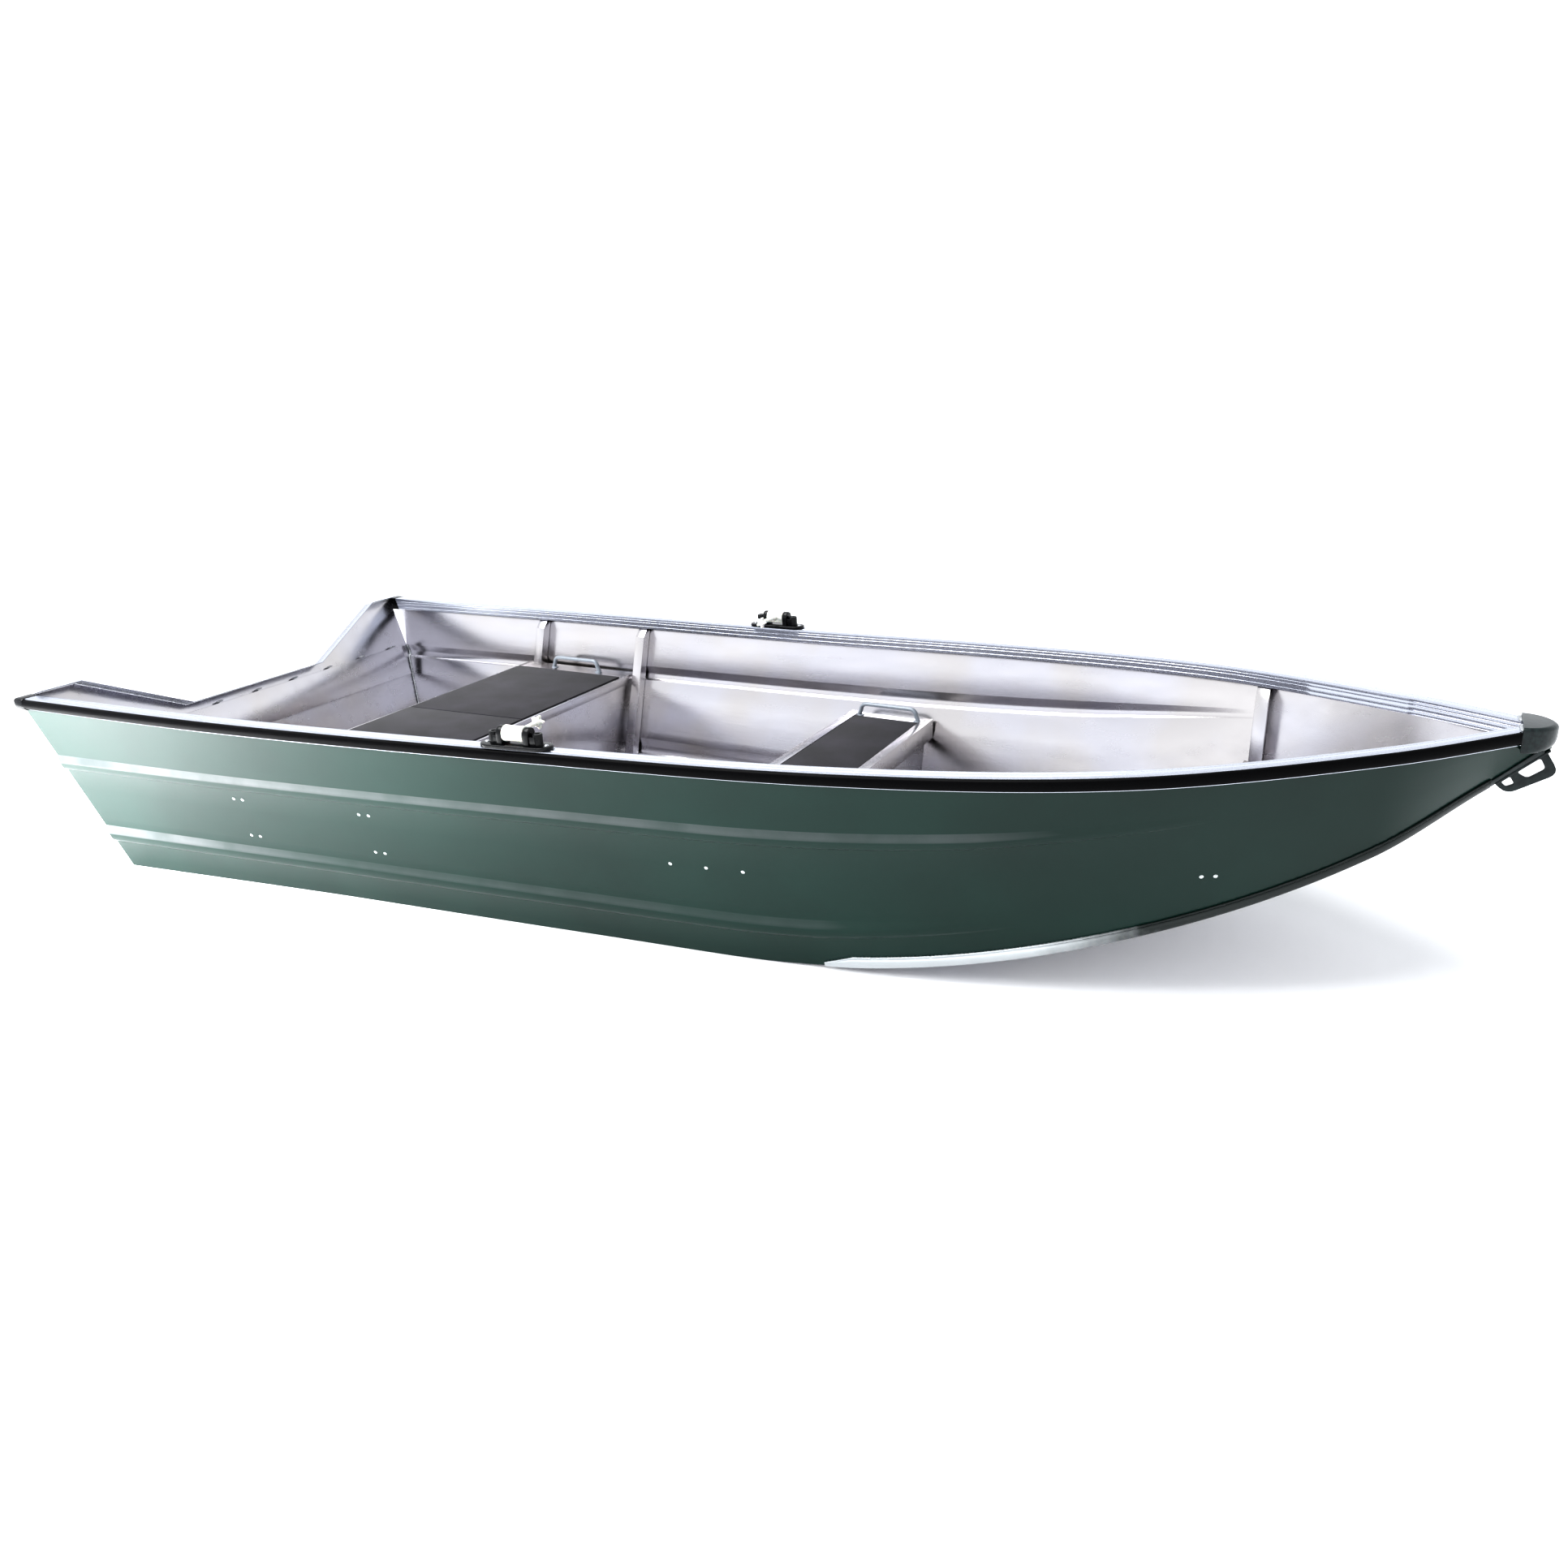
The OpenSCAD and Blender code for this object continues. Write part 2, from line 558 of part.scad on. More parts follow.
module handle_at(x, z, margin) {
    y0 = inside(x - handle_len / 2, z) - margin;
    y1 = inside(x + handle_len / 2, z) - margin;
    translate([stern + x, (y0 + y1) / 2, z + gap / 3]) rotate([0, 0, atan2(y1 - y0, handle_len)]) handle_rod();
}
module grab_handles() color("#A9ADB2") both_sides() {
    handle_at(aft_start + aft_len / 2 + 8, aft_z, 52);
    handle_at(mid_start + mid_len / 2, mid_z, 46);
}

// ---- Oar pins ----

oar_s = oar_x / hull_len;
step = 0.005;
oar_yaw = atan2(gunwale_y(oar_s + step) - gunwale_y(oar_s - step), 2 * step * hull_len);
oar_pitch = atan2(gunwale_z(oar_s + step) - gunwale_z(oar_s - step), 2 * step * hull_len);
// The frame of an oar pin on the port gunwale: x along the flange, y outboard, z up from it.
module on_gunwale() translate([stern + oar_x, gunwale_y(oar_s) - flange_w / 2, gunwale_z(oar_s)])
    rotate([0, -oar_pitch, oar_yaw]) children();

cheek_t = 15;
cheek_r = 17;
module oar_base() difference() {
    union() {
        translate([-base_len / 2 + base_w / 2, -base_w / 2, gap]) cube([base_len - base_w, base_w, base_t]);
        for (end = [-1, 1]) {
            translate([end * (base_len - base_w) / 2, 0, gap]) cylinder(r = base_w / 2, h = base_t);
            translate([end * (swivel_len / 2 + gap + cheek_t / 2) - cheek_t / 2, -cheek_r, gap])
                cube([cheek_t, 2 * cheek_r, swivel_z - gap]);
            translate([end * (swivel_len / 2 + gap + cheek_t / 2) - cheek_t / 2, 0, swivel_z])
                rotate([0, 90, 0]) cylinder(r = cheek_r, h = cheek_t);
            translate([end * (swivel_len / 2 + cheek_t + 15), 0, gap]) cylinder(r = 12, h = swivel_z + 4);
        }
    }
    for (end = [-1, 1])
        translate([end * (swivel_len / 2 + gap + cheek_t / 2) - cheek_t / 2 - 1, 0, swivel_z])
            rotate([0, 90, 0]) cylinder(r = axle_r + running, h = cheek_t + 2);
    translate([-swivel_len / 2 - gap, 0, swivel_z]) rotate([0, 90, 0])
        cylinder(r = swivel_r + 2 * gap, h = swivel_len + 2 * gap);
}
module port_oar_base() color("#131416") on_gunwale() oar_base();
module starboard_oar_base() color("#131416") side(-1) on_gunwale() oar_base();

// The swivel turns on its axle in the cheeks; the pin lies inboard at rest and is raised to row.
module oar_swivel() translate([0, 0, swivel_z]) {
    translate([-swivel_len / 2, 0, 0]) rotate([0, 90, 0]) cylinder(r = swivel_r, h = swivel_len);
    translate([-swivel_len / 2 - cheek_t, 0, 0]) rotate([0, 90, 0])
        cylinder(r = axle_r, h = swivel_len + 2 * cheek_t);
    rotate([90, 0, 0]) cylinder(r = pin_r, h = pin_len);
}
module port_oar_swivel() color("#E6E7E3") on_gunwale() oar_swivel();
module starboard_oar_swivel() color("#E6E7E3") side(-1) on_gunwale() oar_swivel();

// A star knob screws onto the end of the pin.
knob_hub = knob_r * 0.72;
module star_knob() translate([0, -pin_len - 4, swivel_z]) rotate([-90, 0, 0]) difference() {
    union() {
        cylinder(r = knob_hub, h = knob_t);
        for (i = [0 : 4]) rotate([0, 0, 72 * i]) translate([knob_hub, 0, 2])
            cylinder(r = knob_r - knob_hub, h = knob_t - 8);
    }
    translate([0, 0, 4 - gap]) cylinder(r = pin_r + running, h = knob_t);
}
module port_star_knob() color("#EFEFEA") on_gunwale() star_knob();
module starboard_star_knob() color("#EFEFEA") side(-1) on_gunwale() star_knob();

// Dome heads hold each base down on the gunwale.
module dome(r, h) rotate_extrude() intersection() {
    square([r, h]);
    translate([0, h - (r * r + h * h) / (2 * h)]) circle((r * r + h * h) / (2 * h));
}
module oar_screws() color("#9FA3A8") both_sides() on_gunwale() for (end = [-1, 1])
    translate([end * (base_len / 2 - 14), 0, base_t + gap]) dome(6, 3);

// ---- Rivets and drain ----

// A rivet head on the outside of the port side, at a distance from the stern and down the side.
module side_rivet(x, share) {
    z = gunwale_z(x / hull_len) * (1 - share);
    o = side_out(station_of(x, z));
    translate([stern + x, face(x, z, gap / 2), z])
        rotate([0, 0, atan2(face(x + 5, z, 0) - face(x - 5, z, 0), 10)])
            rotate([-atan2(o[0], o[1]), 0, 0]) dome(rivet_r, 2.4);
}
pair_w = 30;
bow_pair_w = 26;
rivets_aft = 10;
module side_rivets() {
    for (x = [frame_1, frame_2 - rivets_aft], share = [0.455, 0.678], end = [-0.5, 0.5]) side_rivet(x + end * pair_w, share);
    for (i = [-1 : 1]) side_rivet(mid_start + mid_len / 2 + 90 * i, 0.52);
    for (end = [-0.5, 0.5]) side_rivet(frame_3 + end * bow_pair_w, 0.45);
}
module port_rivets() color("#AEB6B4") side_rivets();
module starboard_rivets() color("#AEB6B4") side(-1) side_rivets();

module drain_socket() color("#8F8A7C") on_transom() translate([0, 0, drain_z]) rotate([0, 90, 0]) difference() {
    union() {
        translate([0, 0, -4 - gap]) cylinder(r = drain_r + 12, h = 4);
        translate([0, 0, -4 - gap]) cylinder(r = drain_r + 3, h = sheet + 14);
    }
    translate([0, 0, -6]) cylinder(r = drain_r + running, h = sheet + 30);
}
module drain_plug() color("#2A2B2D") on_transom() translate([0, 0, drain_z]) rotate([0, 90, 0]) {
    translate([0, 0, -5 - 2 * gap]) cylinder(r = drain_r, h = sheet + 13);
    translate([0, 0, -13 - 2 * gap]) cylinder(r = drain_r + 7, h = 9);
    translate([-3, -drain_r - 4, -21 - 2 * gap]) cube([6, 2 * drain_r + 8, 9]);
}

port_side_sheet();
starboard_side_sheet();
bottom_sheet();
transom();
transom_rim();
transom_board();
port_gunwale();
starboard_gunwale();
port_rub_rail();
starboard_rub_rail();
stern_corner_caps();
port_chine_bar();
starboard_chine_bar();
stem_bar();
eye_plate();
bow_cap();
aft_frames();
middle_frames();
bow_frames();
aft_thwart_top();
aft_thwart_front();
aft_thwart_rear();
aft_foam();
aft_mats();
middle_thwart_top();
middle_thwart_front();
middle_thwart_rear();
middle_foam();
middle_mat();
bow_seat();
bow_panel();
grab_handles();
port_oar_base();
starboard_oar_base();
port_oar_swivel();
starboard_oar_swivel();
port_star_knob();
starboard_star_knob();
oar_screws();
port_rivets();
starboard_rivets();
drain_socket();
drain_plug();
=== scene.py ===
import json
import math

import bmesh
import bpy
from mathutils import Matrix, Vector, noise


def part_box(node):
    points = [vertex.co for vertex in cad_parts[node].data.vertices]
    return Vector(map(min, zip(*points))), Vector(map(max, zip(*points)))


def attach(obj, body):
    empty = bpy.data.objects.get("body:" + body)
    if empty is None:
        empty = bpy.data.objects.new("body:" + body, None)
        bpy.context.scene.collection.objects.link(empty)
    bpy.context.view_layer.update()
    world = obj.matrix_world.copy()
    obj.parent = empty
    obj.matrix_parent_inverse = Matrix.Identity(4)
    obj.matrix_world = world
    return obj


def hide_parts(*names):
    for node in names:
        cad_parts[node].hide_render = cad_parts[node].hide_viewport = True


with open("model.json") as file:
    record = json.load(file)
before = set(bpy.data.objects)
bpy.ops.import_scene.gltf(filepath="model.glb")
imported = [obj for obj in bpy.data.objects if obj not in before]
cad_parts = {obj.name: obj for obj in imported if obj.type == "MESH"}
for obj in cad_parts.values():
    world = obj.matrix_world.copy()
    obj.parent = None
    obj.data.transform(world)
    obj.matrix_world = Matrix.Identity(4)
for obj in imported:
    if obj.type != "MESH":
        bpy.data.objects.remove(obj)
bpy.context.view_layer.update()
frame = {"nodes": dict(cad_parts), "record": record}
record = frame["record"]
bodyOf = {node: body for body, nodes in record["behaviour"]["bodies"].items() for node in nodes}
slotOf = {piece["node"]: piece["material_slot"] for piece in record["subparts"]}
mm = 0.001
print("frame loaded:", len(frame["nodes"]), "CAD nodes")


# colours are written as sRGB hex and turned to linear here
def linearColour(hexText):
    parts = [int(hexText[i:i + 2], 16) / 255 for i in (1, 3, 5)]
    return tuple(c / 12.92 if c < 0.04045 else ((c + 0.055) / 1.055) ** 2.4 for c in parts) + (1.0,)


# adds a node: settings name its properties or its input sockets, links name the inputs to join
def addNode(tree, kind, settings=None, links=None):
    node = tree.nodes.new(kind)
    for key, value in (settings or {}).items():
        if isinstance(key, str) and hasattr(node, key):
            setattr(node, key, value)
        else:
            node.inputs[key].default_value = value
    for key, socket in (links or {}).items():
        tree.links.new(socket, node.inputs[key])
    return node


# a new material with its shader, its output and object coordinates in metres
def newFinish(name, settings):
    material = bpy.data.materials.new(name)
    material.use_nodes = True
    tree = material.node_tree
    tree.nodes.clear()
    shader = addNode(tree, "ShaderNodeBsdfPrincipled", settings)
    addNode(tree, "ShaderNodeOutputMaterial", links={"Surface": shader.outputs[0]})
    where = addNode(tree, "ShaderNodeTexCoord").outputs["Object"]
    return material, tree, shader, where


def setRamp(ramp, stops):
    elements = ramp.color_ramp.elements
    while len(elements) < len(stops):
        elements.new(0.5)
    for element, (place, colour) in zip(elements, stops):
        element.position = place
        element.color = linearColour(colour)


# ---- finishes ----

finishes = {}

# Polyester powder coat on sheet aluminium, sprayed and baked: satin green with a fine orange peel.
# bloom is the pale grey of the painted highlight on the ledges; deep and light are the paint's own tones
greenPaint = {"bloom": "#868589", "deep": "#0D2520", "light": "#132F29", "peelMm": 1.6, "patchMm": 420}
finishes["green_paint"], tree, shader, where = newFinish(
    "powderCoatGreen", {"Roughness": 0.32, "IOR": 1.45, "Specular IOR Level": 0.3, "Coat Weight": 0.22, "Coat Roughness": 0.1})
patches = addNode(tree, "ShaderNodeTexNoise", {"Scale": 1000 / greenPaint["patchMm"], "Detail": 3}, {"Vector": where})
tone = addNode(tree, "ShaderNodeValToRGB", links={"Fac": patches.outputs[0]})
setRamp(tone, [(0.3, greenPaint["deep"]), (0.7, greenPaint["light"])])
# painted highlight: a pale grey is mixed into the paint colour on the pressed ledges, where the face turns upwards,
# strongest at the stern and fading towards the bow, in uneven patches
facing = addNode(tree, "ShaderNodeNewGeometry").outputs["Normal"]
upwards = addNode(tree, "ShaderNodeSeparateXYZ", links={"Vector": facing}).outputs["Z"]
ledge = addNode(tree, "ShaderNodeMapRange", {"From Min": -0.05, "From Max": 0.04, "To Min": 0.0, "To Max": 1.0}, {"Value": upwards})
place = addNode(tree, "ShaderNodeSeparateXYZ", links={"Vector": where}).outputs["X"]
sternwardHighlight = addNode(tree, "ShaderNodeMapRange", {"From Min": -1.9, "From Max": 1.1, "To Min": 0.4, "To Max": 0.16}, {"Value": place})
highlightPatches = addNode(tree, "ShaderNodeTexNoise", {"Scale": 9, "Detail": 4}, {"Vector": where})
uneven = addNode(tree, "ShaderNodeMapRange", {"From Min": 0.3, "From Max": 0.6, "To Min": 0.6, "To Max": 1.0}, {"Value": highlightPatches.outputs[0]})
highlightAmount = addNode(tree, "ShaderNodeMath", {"operation": "MULTIPLY"}, {0: ledge.outputs[0], 1: sternwardHighlight.outputs[0]})
# dusty is the mask of the painted highlight on the ledges
dusty = addNode(tree, "ShaderNodeMath", {"operation": "MULTIPLY"}, {0: highlightAmount.outputs[0], 1: uneven.outputs[0]})
paint = addNode(tree, "ShaderNodeMix", {"data_type": "RGBA", 7: linearColour(greenPaint["bloom"])},
                {0: dusty.outputs[0], 6: tone.outputs[0]})
tree.links.new(paint.outputs[2], shader.inputs["Base Color"])
peel = addNode(tree, "ShaderNodeTexNoise", {"Scale": 1000 / greenPaint["peelMm"] / 3, "Detail": 2}, {"Vector": where})
sheetWave = addNode(tree, "ShaderNodeTexNoise", {"Scale": 3.2, "Detail": 1}, {"Vector": where})
waveBump = addNode(tree, "ShaderNodeBump", {"Strength": 0.4, "Distance": 0.003}, {"Height": sheetWave.outputs[0]})
peelBump = addNode(tree, "ShaderNodeBump", {"Strength": 0.12, "Distance": 0.0004},
                   {"Height": peel.outputs[0], "Normal": waveBump.outputs[0]})
tree.links.new(peelBump.outputs[0], shader.inputs["Normal"])

# Mill-finish aluminium sheet, cold rolled: bright, with fine streaks along the boat and a slow ripple.
bareSheet = {"bright": "#CDCCD2", "warm": "#CBC8C8", "streakMm": 2.5, "rippleMm": 260, "scuffMm": 38}
finishes["bare_sheet"], tree, shader, where = newFinish("rolledAluminium", {"Metallic": 1.0, "Roughness": 0.3})
along = addNode(tree, "ShaderNodeMapping", {"Scale": (1.2, 1000 / bareSheet["streakMm"], 1000 / bareSheet["streakMm"])},
                {"Vector": where})
streaks = addNode(tree, "ShaderNodeTexNoise", {"Scale": 1.0, "Detail": 4}, {"Vector": along.outputs[0]})
clouds = addNode(tree, "ShaderNodeTexNoise", {"Scale": 1000 / bareSheet["rippleMm"], "Detail": 2}, {"Vector": where})
# painted reflection: slow cloudy patches of a warmer grey in the base colour stand in for beige reflections on the
# sheet
reflectionTintPatches = addNode(tree, "ShaderNodeValToRGB", links={"Fac": clouds.outputs[0]})
setRamp(reflectionTintPatches, [(0.38, bareSheet["warm"]), (0.58, bareSheet["bright"])])
tree.links.new(reflectionTintPatches.outputs[0], shader.inputs["Base Color"])
scuffMap = addNode(tree, "ShaderNodeMapping", {"Scale": (3.0, 1000 / bareSheet["scuffMm"], 1000 / bareSheet["scuffMm"])},
                   {"Vector": where})
scuffs = addNode(tree, "ShaderNodeTexNoise", {"Scale": 1.0, "Detail": 5}, {"Vector": scuffMap.outputs[0]})
haze = addNode(tree, "ShaderNodeMapRange", {"From Min": 0.3, "From Max": 0.75, "To Min": 0.2, "To Max": 0.3},
               {"Value": scuffs.outputs[0]})
tree.links.new(haze.outputs[0], shader.inputs["Roughness"])
ripple = addNode(tree, "ShaderNodeBump", {"Strength": 0.22, "Distance": 0.003}, {"Height": clouds.outputs[0]})
grain = addNode(tree, "ShaderNodeBump", {"Strength": 0.15, "Distance": 0.0004},
                {"Height": streaks.outputs[0], "Normal": ripple.outputs[0]})
tree.links.new(grain.outputs[0], shader.inputs["Normal"])

# Extruded 6063 aluminium, as it leaves the die: bluish white with die lines along its length.
extrusion = {"colour": "#CCD0DA", "lineMm": 1.8}
finishes["extrusion"], tree, shader, where = newFinish(
    "extrudedAluminium", {"Metallic": 1.0, "Roughness": 0.28, "Base Color": linearColour(extrusion["colour"])})
along = addNode(tree, "ShaderNodeMapping", {"Scale": (0.8, 1000 / extrusion["lineMm"], 1000 / extrusion["lineMm"])},
                {"Vector": where})
dieLines = addNode(tree, "ShaderNodeTexNoise", {"Scale": 1.0, "Detail": 3}, {"Vector": along.outputs[0]})
haze = addNode(tree, "ShaderNodeMapRange", {"From Min": 0.3, "From Max": 0.7, "To Min": 0.24, "To Max": 0.32},
               {"Value": dieLines.outputs[0]})
tree.links.new(haze.outputs[0], shader.inputs["Roughness"])
lineBump = addNode(tree, "ShaderNodeBump", {"Strength": 0.03, "Distance": 0.0004}, {"Height": dieLines.outputs[0]})
tree.links.new(lineBump.outputs[0], shader.inputs["Normal"])

# EPDM rubber, extruded: near black with a soft highlight and a fine matt skin.
rubber = {"colour": "#050506", "dust": "#0C0C0E", "skinMm": 1.2}
finishes["black_rubber"], tree, shader, where = newFinish("extrudedRubber", {"Roughness": 0.38, "IOR": 1.45, "Specular IOR Level": 0.1})
skin = addNode(tree, "ShaderNodeTexNoise", {"Scale": 1000 / rubber["skinMm"] / 2, "Detail": 4}, {"Vector": where})
tone = addNode(tree, "ShaderNodeValToRGB", links={"Fac": skin.outputs[0]})
setRamp(tone, [(0.35, rubber["colour"]), (0.75, rubber["dust"])])
tree.links.new(tone.outputs[0], shader.inputs["Base Color"])
skinBump = addNode(tree, "ShaderNodeBump", {"Strength": 0.2, "Distance": 0.0003}, {"Height": skin.outputs[0]})
tree.links.new(skinBump.outputs[0], shader.inputs["Normal"])

# Glass-filled nylon, injection moulded: glossy black with a faint flow texture.
finishes["black_plastic"], tree, shader, where = newFinish(
    "mouldedNylonBlack", {"Roughness": 0.22, "IOR": 1.53, "Specular IOR Level": 0.35, "Base Color": linearColour("#0C0D0F")})
flow = addNode(tree, "ShaderNodeTexNoise", {"Scale": 240, "Detail": 3}, {"Vector": where})
haze = addNode(tree, "ShaderNodeMapRange", {"To Min": 0.14, "To Max": 0.34}, {"Value": flow.outputs[0]})
tree.links.new(haze.outputs[0], shader.inputs["Roughness"])
flowBump = addNode(tree, "ShaderNodeBump", {"Strength": 0.12, "Distance": 0.0004}, {"Height": flow.outputs[0]})
tree.links.new(flowBump.outputs[0], shader.inputs["Normal"])

# Flat aluminium bar, ground after welding: bright aft, with green overspray towards the bow.
barFinish = {"bare": "#D2D6D8", "paint": "#121B19", "from": 0.95, "to": 1.2, "scratchMm": 3}
finishes["bar_aluminium"], tree, shader, where = newFinish("groundAluminiumBar", {"Metallic": 1.0, "Roughness": 0.3})
parts = addNode(tree, "ShaderNodeSeparateXYZ", links={"Vector": where})
edge = addNode(tree, "ShaderNodeTexNoise", {"Scale": 30, "Detail": 4}, {"Vector": where})
shift = addNode(tree, "ShaderNodeMath", {"operation": "MULTIPLY_ADD", 1: 0.12},
                {0: edge.outputs[0], 2: parts.outputs["X"]})
cover = addNode(tree, "ShaderNodeMapRange", {"From Min": barFinish["from"], "From Max": barFinish["to"]},
                {"Value": shift.outputs[0]})
tone = addNode(tree, "ShaderNodeMix", {"data_type": "RGBA", 6: linearColour(barFinish["bare"]),
                                      7: linearColour(barFinish["paint"])}, {0: cover.outputs[0]})
tree.links.new(tone.outputs[2], shader.inputs["Base Color"])
metalShare = addNode(tree, "ShaderNodeMath", {"operation": "SUBTRACT", 0: 1.0}, {1: cover.outputs[0]})
tree.links.new(metalShare.outputs[0], shader.inputs["Metallic"])
scratches = addNode(tree, "ShaderNodeTexNoise", {"Scale": 1000 / barFinish["scratchMm"], "Detail": 5}, {"Vector": where})
scratchBump = addNode(tree, "ShaderNodeBump", {"Strength": 0.35, "Distance": 0.0006}, {"Height": scratches.outputs[0]})
tree.links.new(scratchBump.outputs[0], shader.inputs["Normal"])

# Two-part enamel over cast aluminium: almost black green, glossy, a little rough from the casting.
finishes["dark_paint"], tree, shader, where = newFinish(
    "enamelDarkGreen", {"Roughness": 0.3, "IOR": 1.5, "Specular IOR Level": 0.35, "Coat Weight": 0.15, "Coat Roughness": 0.1})
casting = addNode(tree, "ShaderNodeTexNoise", {"Scale": 130, "Detail": 5}, {"Vector": where})
tone = addNode(tree, "ShaderNodeValToRGB", links={"Fac": casting.outputs[0]})
setRamp(tone, [(0.35, "#10181A"), (0.7, "#1E2A2A")])
tree.links.new(tone.outputs[0], shader.inputs["Base Color"])
castBump = addNode(tree, "ShaderNodeBump", {"Strength": 0.25, "Distance": 0.0008}, {"Height": casting.outputs[0]})
tree.links.new(castBump.outputs[0], shader.inputs["Normal"])

# Closed-cell EVA sheet, embossed: charcoal with a purple cast and a fine pebble that catches dust.
mat = {"deep": "#18171B", "dusty": "#2A282F", "pebbleMm": 2.2, "patchMm": 110}
finishes["mat"], tree, shader, where = newFinish(
    "embossedFoamMat", {"Roughness": 0.78, "IOR": 1.45, "Specular IOR Level": 0.3, "Sheen Weight": 0.08, "Sheen Roughness": 0.5})
pebbles = addNode(tree, "ShaderNodeTexVoronoi", {"Scale": 1000 / mat["pebbleMm"]}, {"Vector": where})
dust = addNode(tree, "ShaderNodeTexNoise", {"Scale": 1000 / mat["patchMm"], "Detail": 6}, {"Vector": where})
tone = addNode(tree, "ShaderNodeValToRGB", links={"Fac": dust.outputs[0]})
setRamp(tone, [(0.35, mat["deep"]), (0.75, mat["dusty"])])
tree.links.new(tone.outputs[0], shader.inputs["Base Color"])
pebbleBump = addNode(tree, "ShaderNodeBump", {"Strength": 0.5, "Distance": 0.0006}, {"Height": pebbles.outputs[0]})
tree.links.new(pebbleBump.outputs[0], shader.inputs["Normal"])

# Expanded polystyrene, steam moulded: white beads pressed together.
finishes["foam"], tree, shader, where = newFinish("mouldedFoamBlock", {"Roughness": 0.85, "IOR": 1.45})
beads = addNode(tree, "ShaderNodeTexVoronoi", {"Scale": 220}, {"Vector": where})
tone = addNode(tree, "ShaderNodeValToRGB", links={"Fac": beads.outputs[0]})
setRamp(tone, [(0.0, "#EFEBDF"), (0.8, "#D9D3C3")])
tree.links.new(tone.outputs[0], shader.inputs["Base Color"])
beadBump = addNode(tree, "ShaderNodeBump", {"Strength": 0.4, "Distance": 0.001, "invert": True}, {"Height": beads.outputs[0]})
tree.links.new(beadBump.outputs[0], shader.inputs["Normal"])

# Epoxy powder coat on bent bar: mid grey satin.
finishes["grey_handle"], tree, shader, where = newFinish(
    "powderCoatGrey", {"Roughness": 0.35, "IOR": 1.5, "Metallic": 0.3})
peel = addNode(tree, "ShaderNodeTexNoise", {"Scale": 260, "Detail": 3}, {"Vector": where})
tone = addNode(tree, "ShaderNodeValToRGB", links={"Fac": peel.outputs[0]})
setRamp(tone, [(0.3, "#7D838A"), (0.7, "#8E949B")])
tree.links.new(tone.outputs[0], shader.inputs["Base Color"])
peelBump = addNode(tree, "ShaderNodeBump", {"Strength": 0.1, "Distance": 0.0004}, {"Height": peel.outputs[0]})
tree.links.new(peelBump.outputs[0], shader.inputs["Normal"])

# Natural nylon 6, turned and moulded: milky white that lets a little light in.
finishes["white_nylon"], tree, shader, where = newFinish(
    "mouldedNylonWhite", {"Roughness": 0.35, "IOR": 1.53, "Subsurface Weight": 0.12, "Subsurface Scale": 0.004})
grime = addNode(tree, "ShaderNodeTexNoise", {"Scale": 150, "Detail": 5}, {"Vector": where})
tone = addNode(tree, "ShaderNodeValToRGB", links={"Fac": grime.outputs[0]})
setRamp(tone, [(0.3, "#CFCFC6"), (0.6, "#ECECE6")])
tree.links.new(tone.outputs[0], shader.inputs["Base Color"])
grimeBump = addNode(tree, "ShaderNodeBump", {"Strength": 0.15, "Distance": 0.0004}, {"Height": grime.outputs[0]})
tree.links.new(grimeBump.outputs[0], shader.inputs["Normal"])

# Stainless steel, cold headed: small hard highlights.
finishes["steel_screw"], tree, shader, where = newFinish(
    "headedStainless", {"Metallic": 1.0, "Roughness": 0.22, "Base Color": linearColour("#C3C6CA")})
wear = addNode(tree, "ShaderNodeTexNoise", {"Scale": 500, "Detail": 4}, {"Vector": where})
haze = addNode(tree, "ShaderNodeMapRange", {"To Min": 0.12, "To Max": 0.38}, {"Value": wear.outputs[0]})
tree.links.new(haze.outputs[0], shader.inputs["Roughness"])

# Aluminium blind rivets, pulled: pale domes with a faint grey bloom.
finishes["rivet"], tree, shader, where = newFinish("pulledRivet", {"Metallic": 1.0, "Roughness": 0.3})
bloom = addNode(tree, "ShaderNodeTexNoise", {"Scale": 420, "Detail": 4}, {"Vector": where})
tone = addNode(tree, "ShaderNodeValToRGB", links={"Fac": bloom.outputs[0]})
setRamp(tone, [(0.35, "#AEB6B6"), (0.65, "#E2E6E6")])
tree.links.new(tone.outputs[0], shader.inputs["Base Color"])

# Marine brass, machined: dull yellow with brown spots.
finishes["drain_brass"], tree, shader, where = newFinish("machinedBrass", {"Metallic": 1.0, "Roughness": 0.34})
spots = addNode(tree, "ShaderNodeTexNoise", {"Scale": 260, "Detail": 5}, {"Vector": where})
tone = addNode(tree, "ShaderNodeValToRGB", links={"Fac": spots.outputs[0]})
setRamp(tone, [(0.35, "#7E6A45"), (0.6, "#B79F6C")])
tree.links.new(tone.outputs[0], shader.inputs["Base Color"])

# Aluminium filler metal, TIG and MIG laid: bright lumps with a frosty skin.
finishes["weld"], tree, shader, where = newFinish("weldedAluminium", {"Metallic": 1.0, "Roughness": 0.35})
frost = addNode(tree, "ShaderNodeTexNoise", {"Scale": 300, "Detail": 5}, {"Vector": where})
tone = addNode(tree, "ShaderNodeValToRGB", links={"Fac": frost.outputs[0]})
setRamp(tone, [(0.35, "#9EA1A3"), (0.65, "#E8EAEC")])
tree.links.new(tone.outputs[0], shader.inputs["Base Color"])
frostBump = addNode(tree, "ShaderNodeBump", {"Strength": 0.4, "Distance": 0.0008}, {"Height": frost.outputs[0]})
tree.links.new(frostBump.outputs[0], shader.inputs["Normal"])
print("finishes made:", len(finishes))


# ---- mesh helpers ----

# a shape is a list of points and a list of (corner numbers, material number) faces
def newShape():
    return {"points": [], "faces": []}


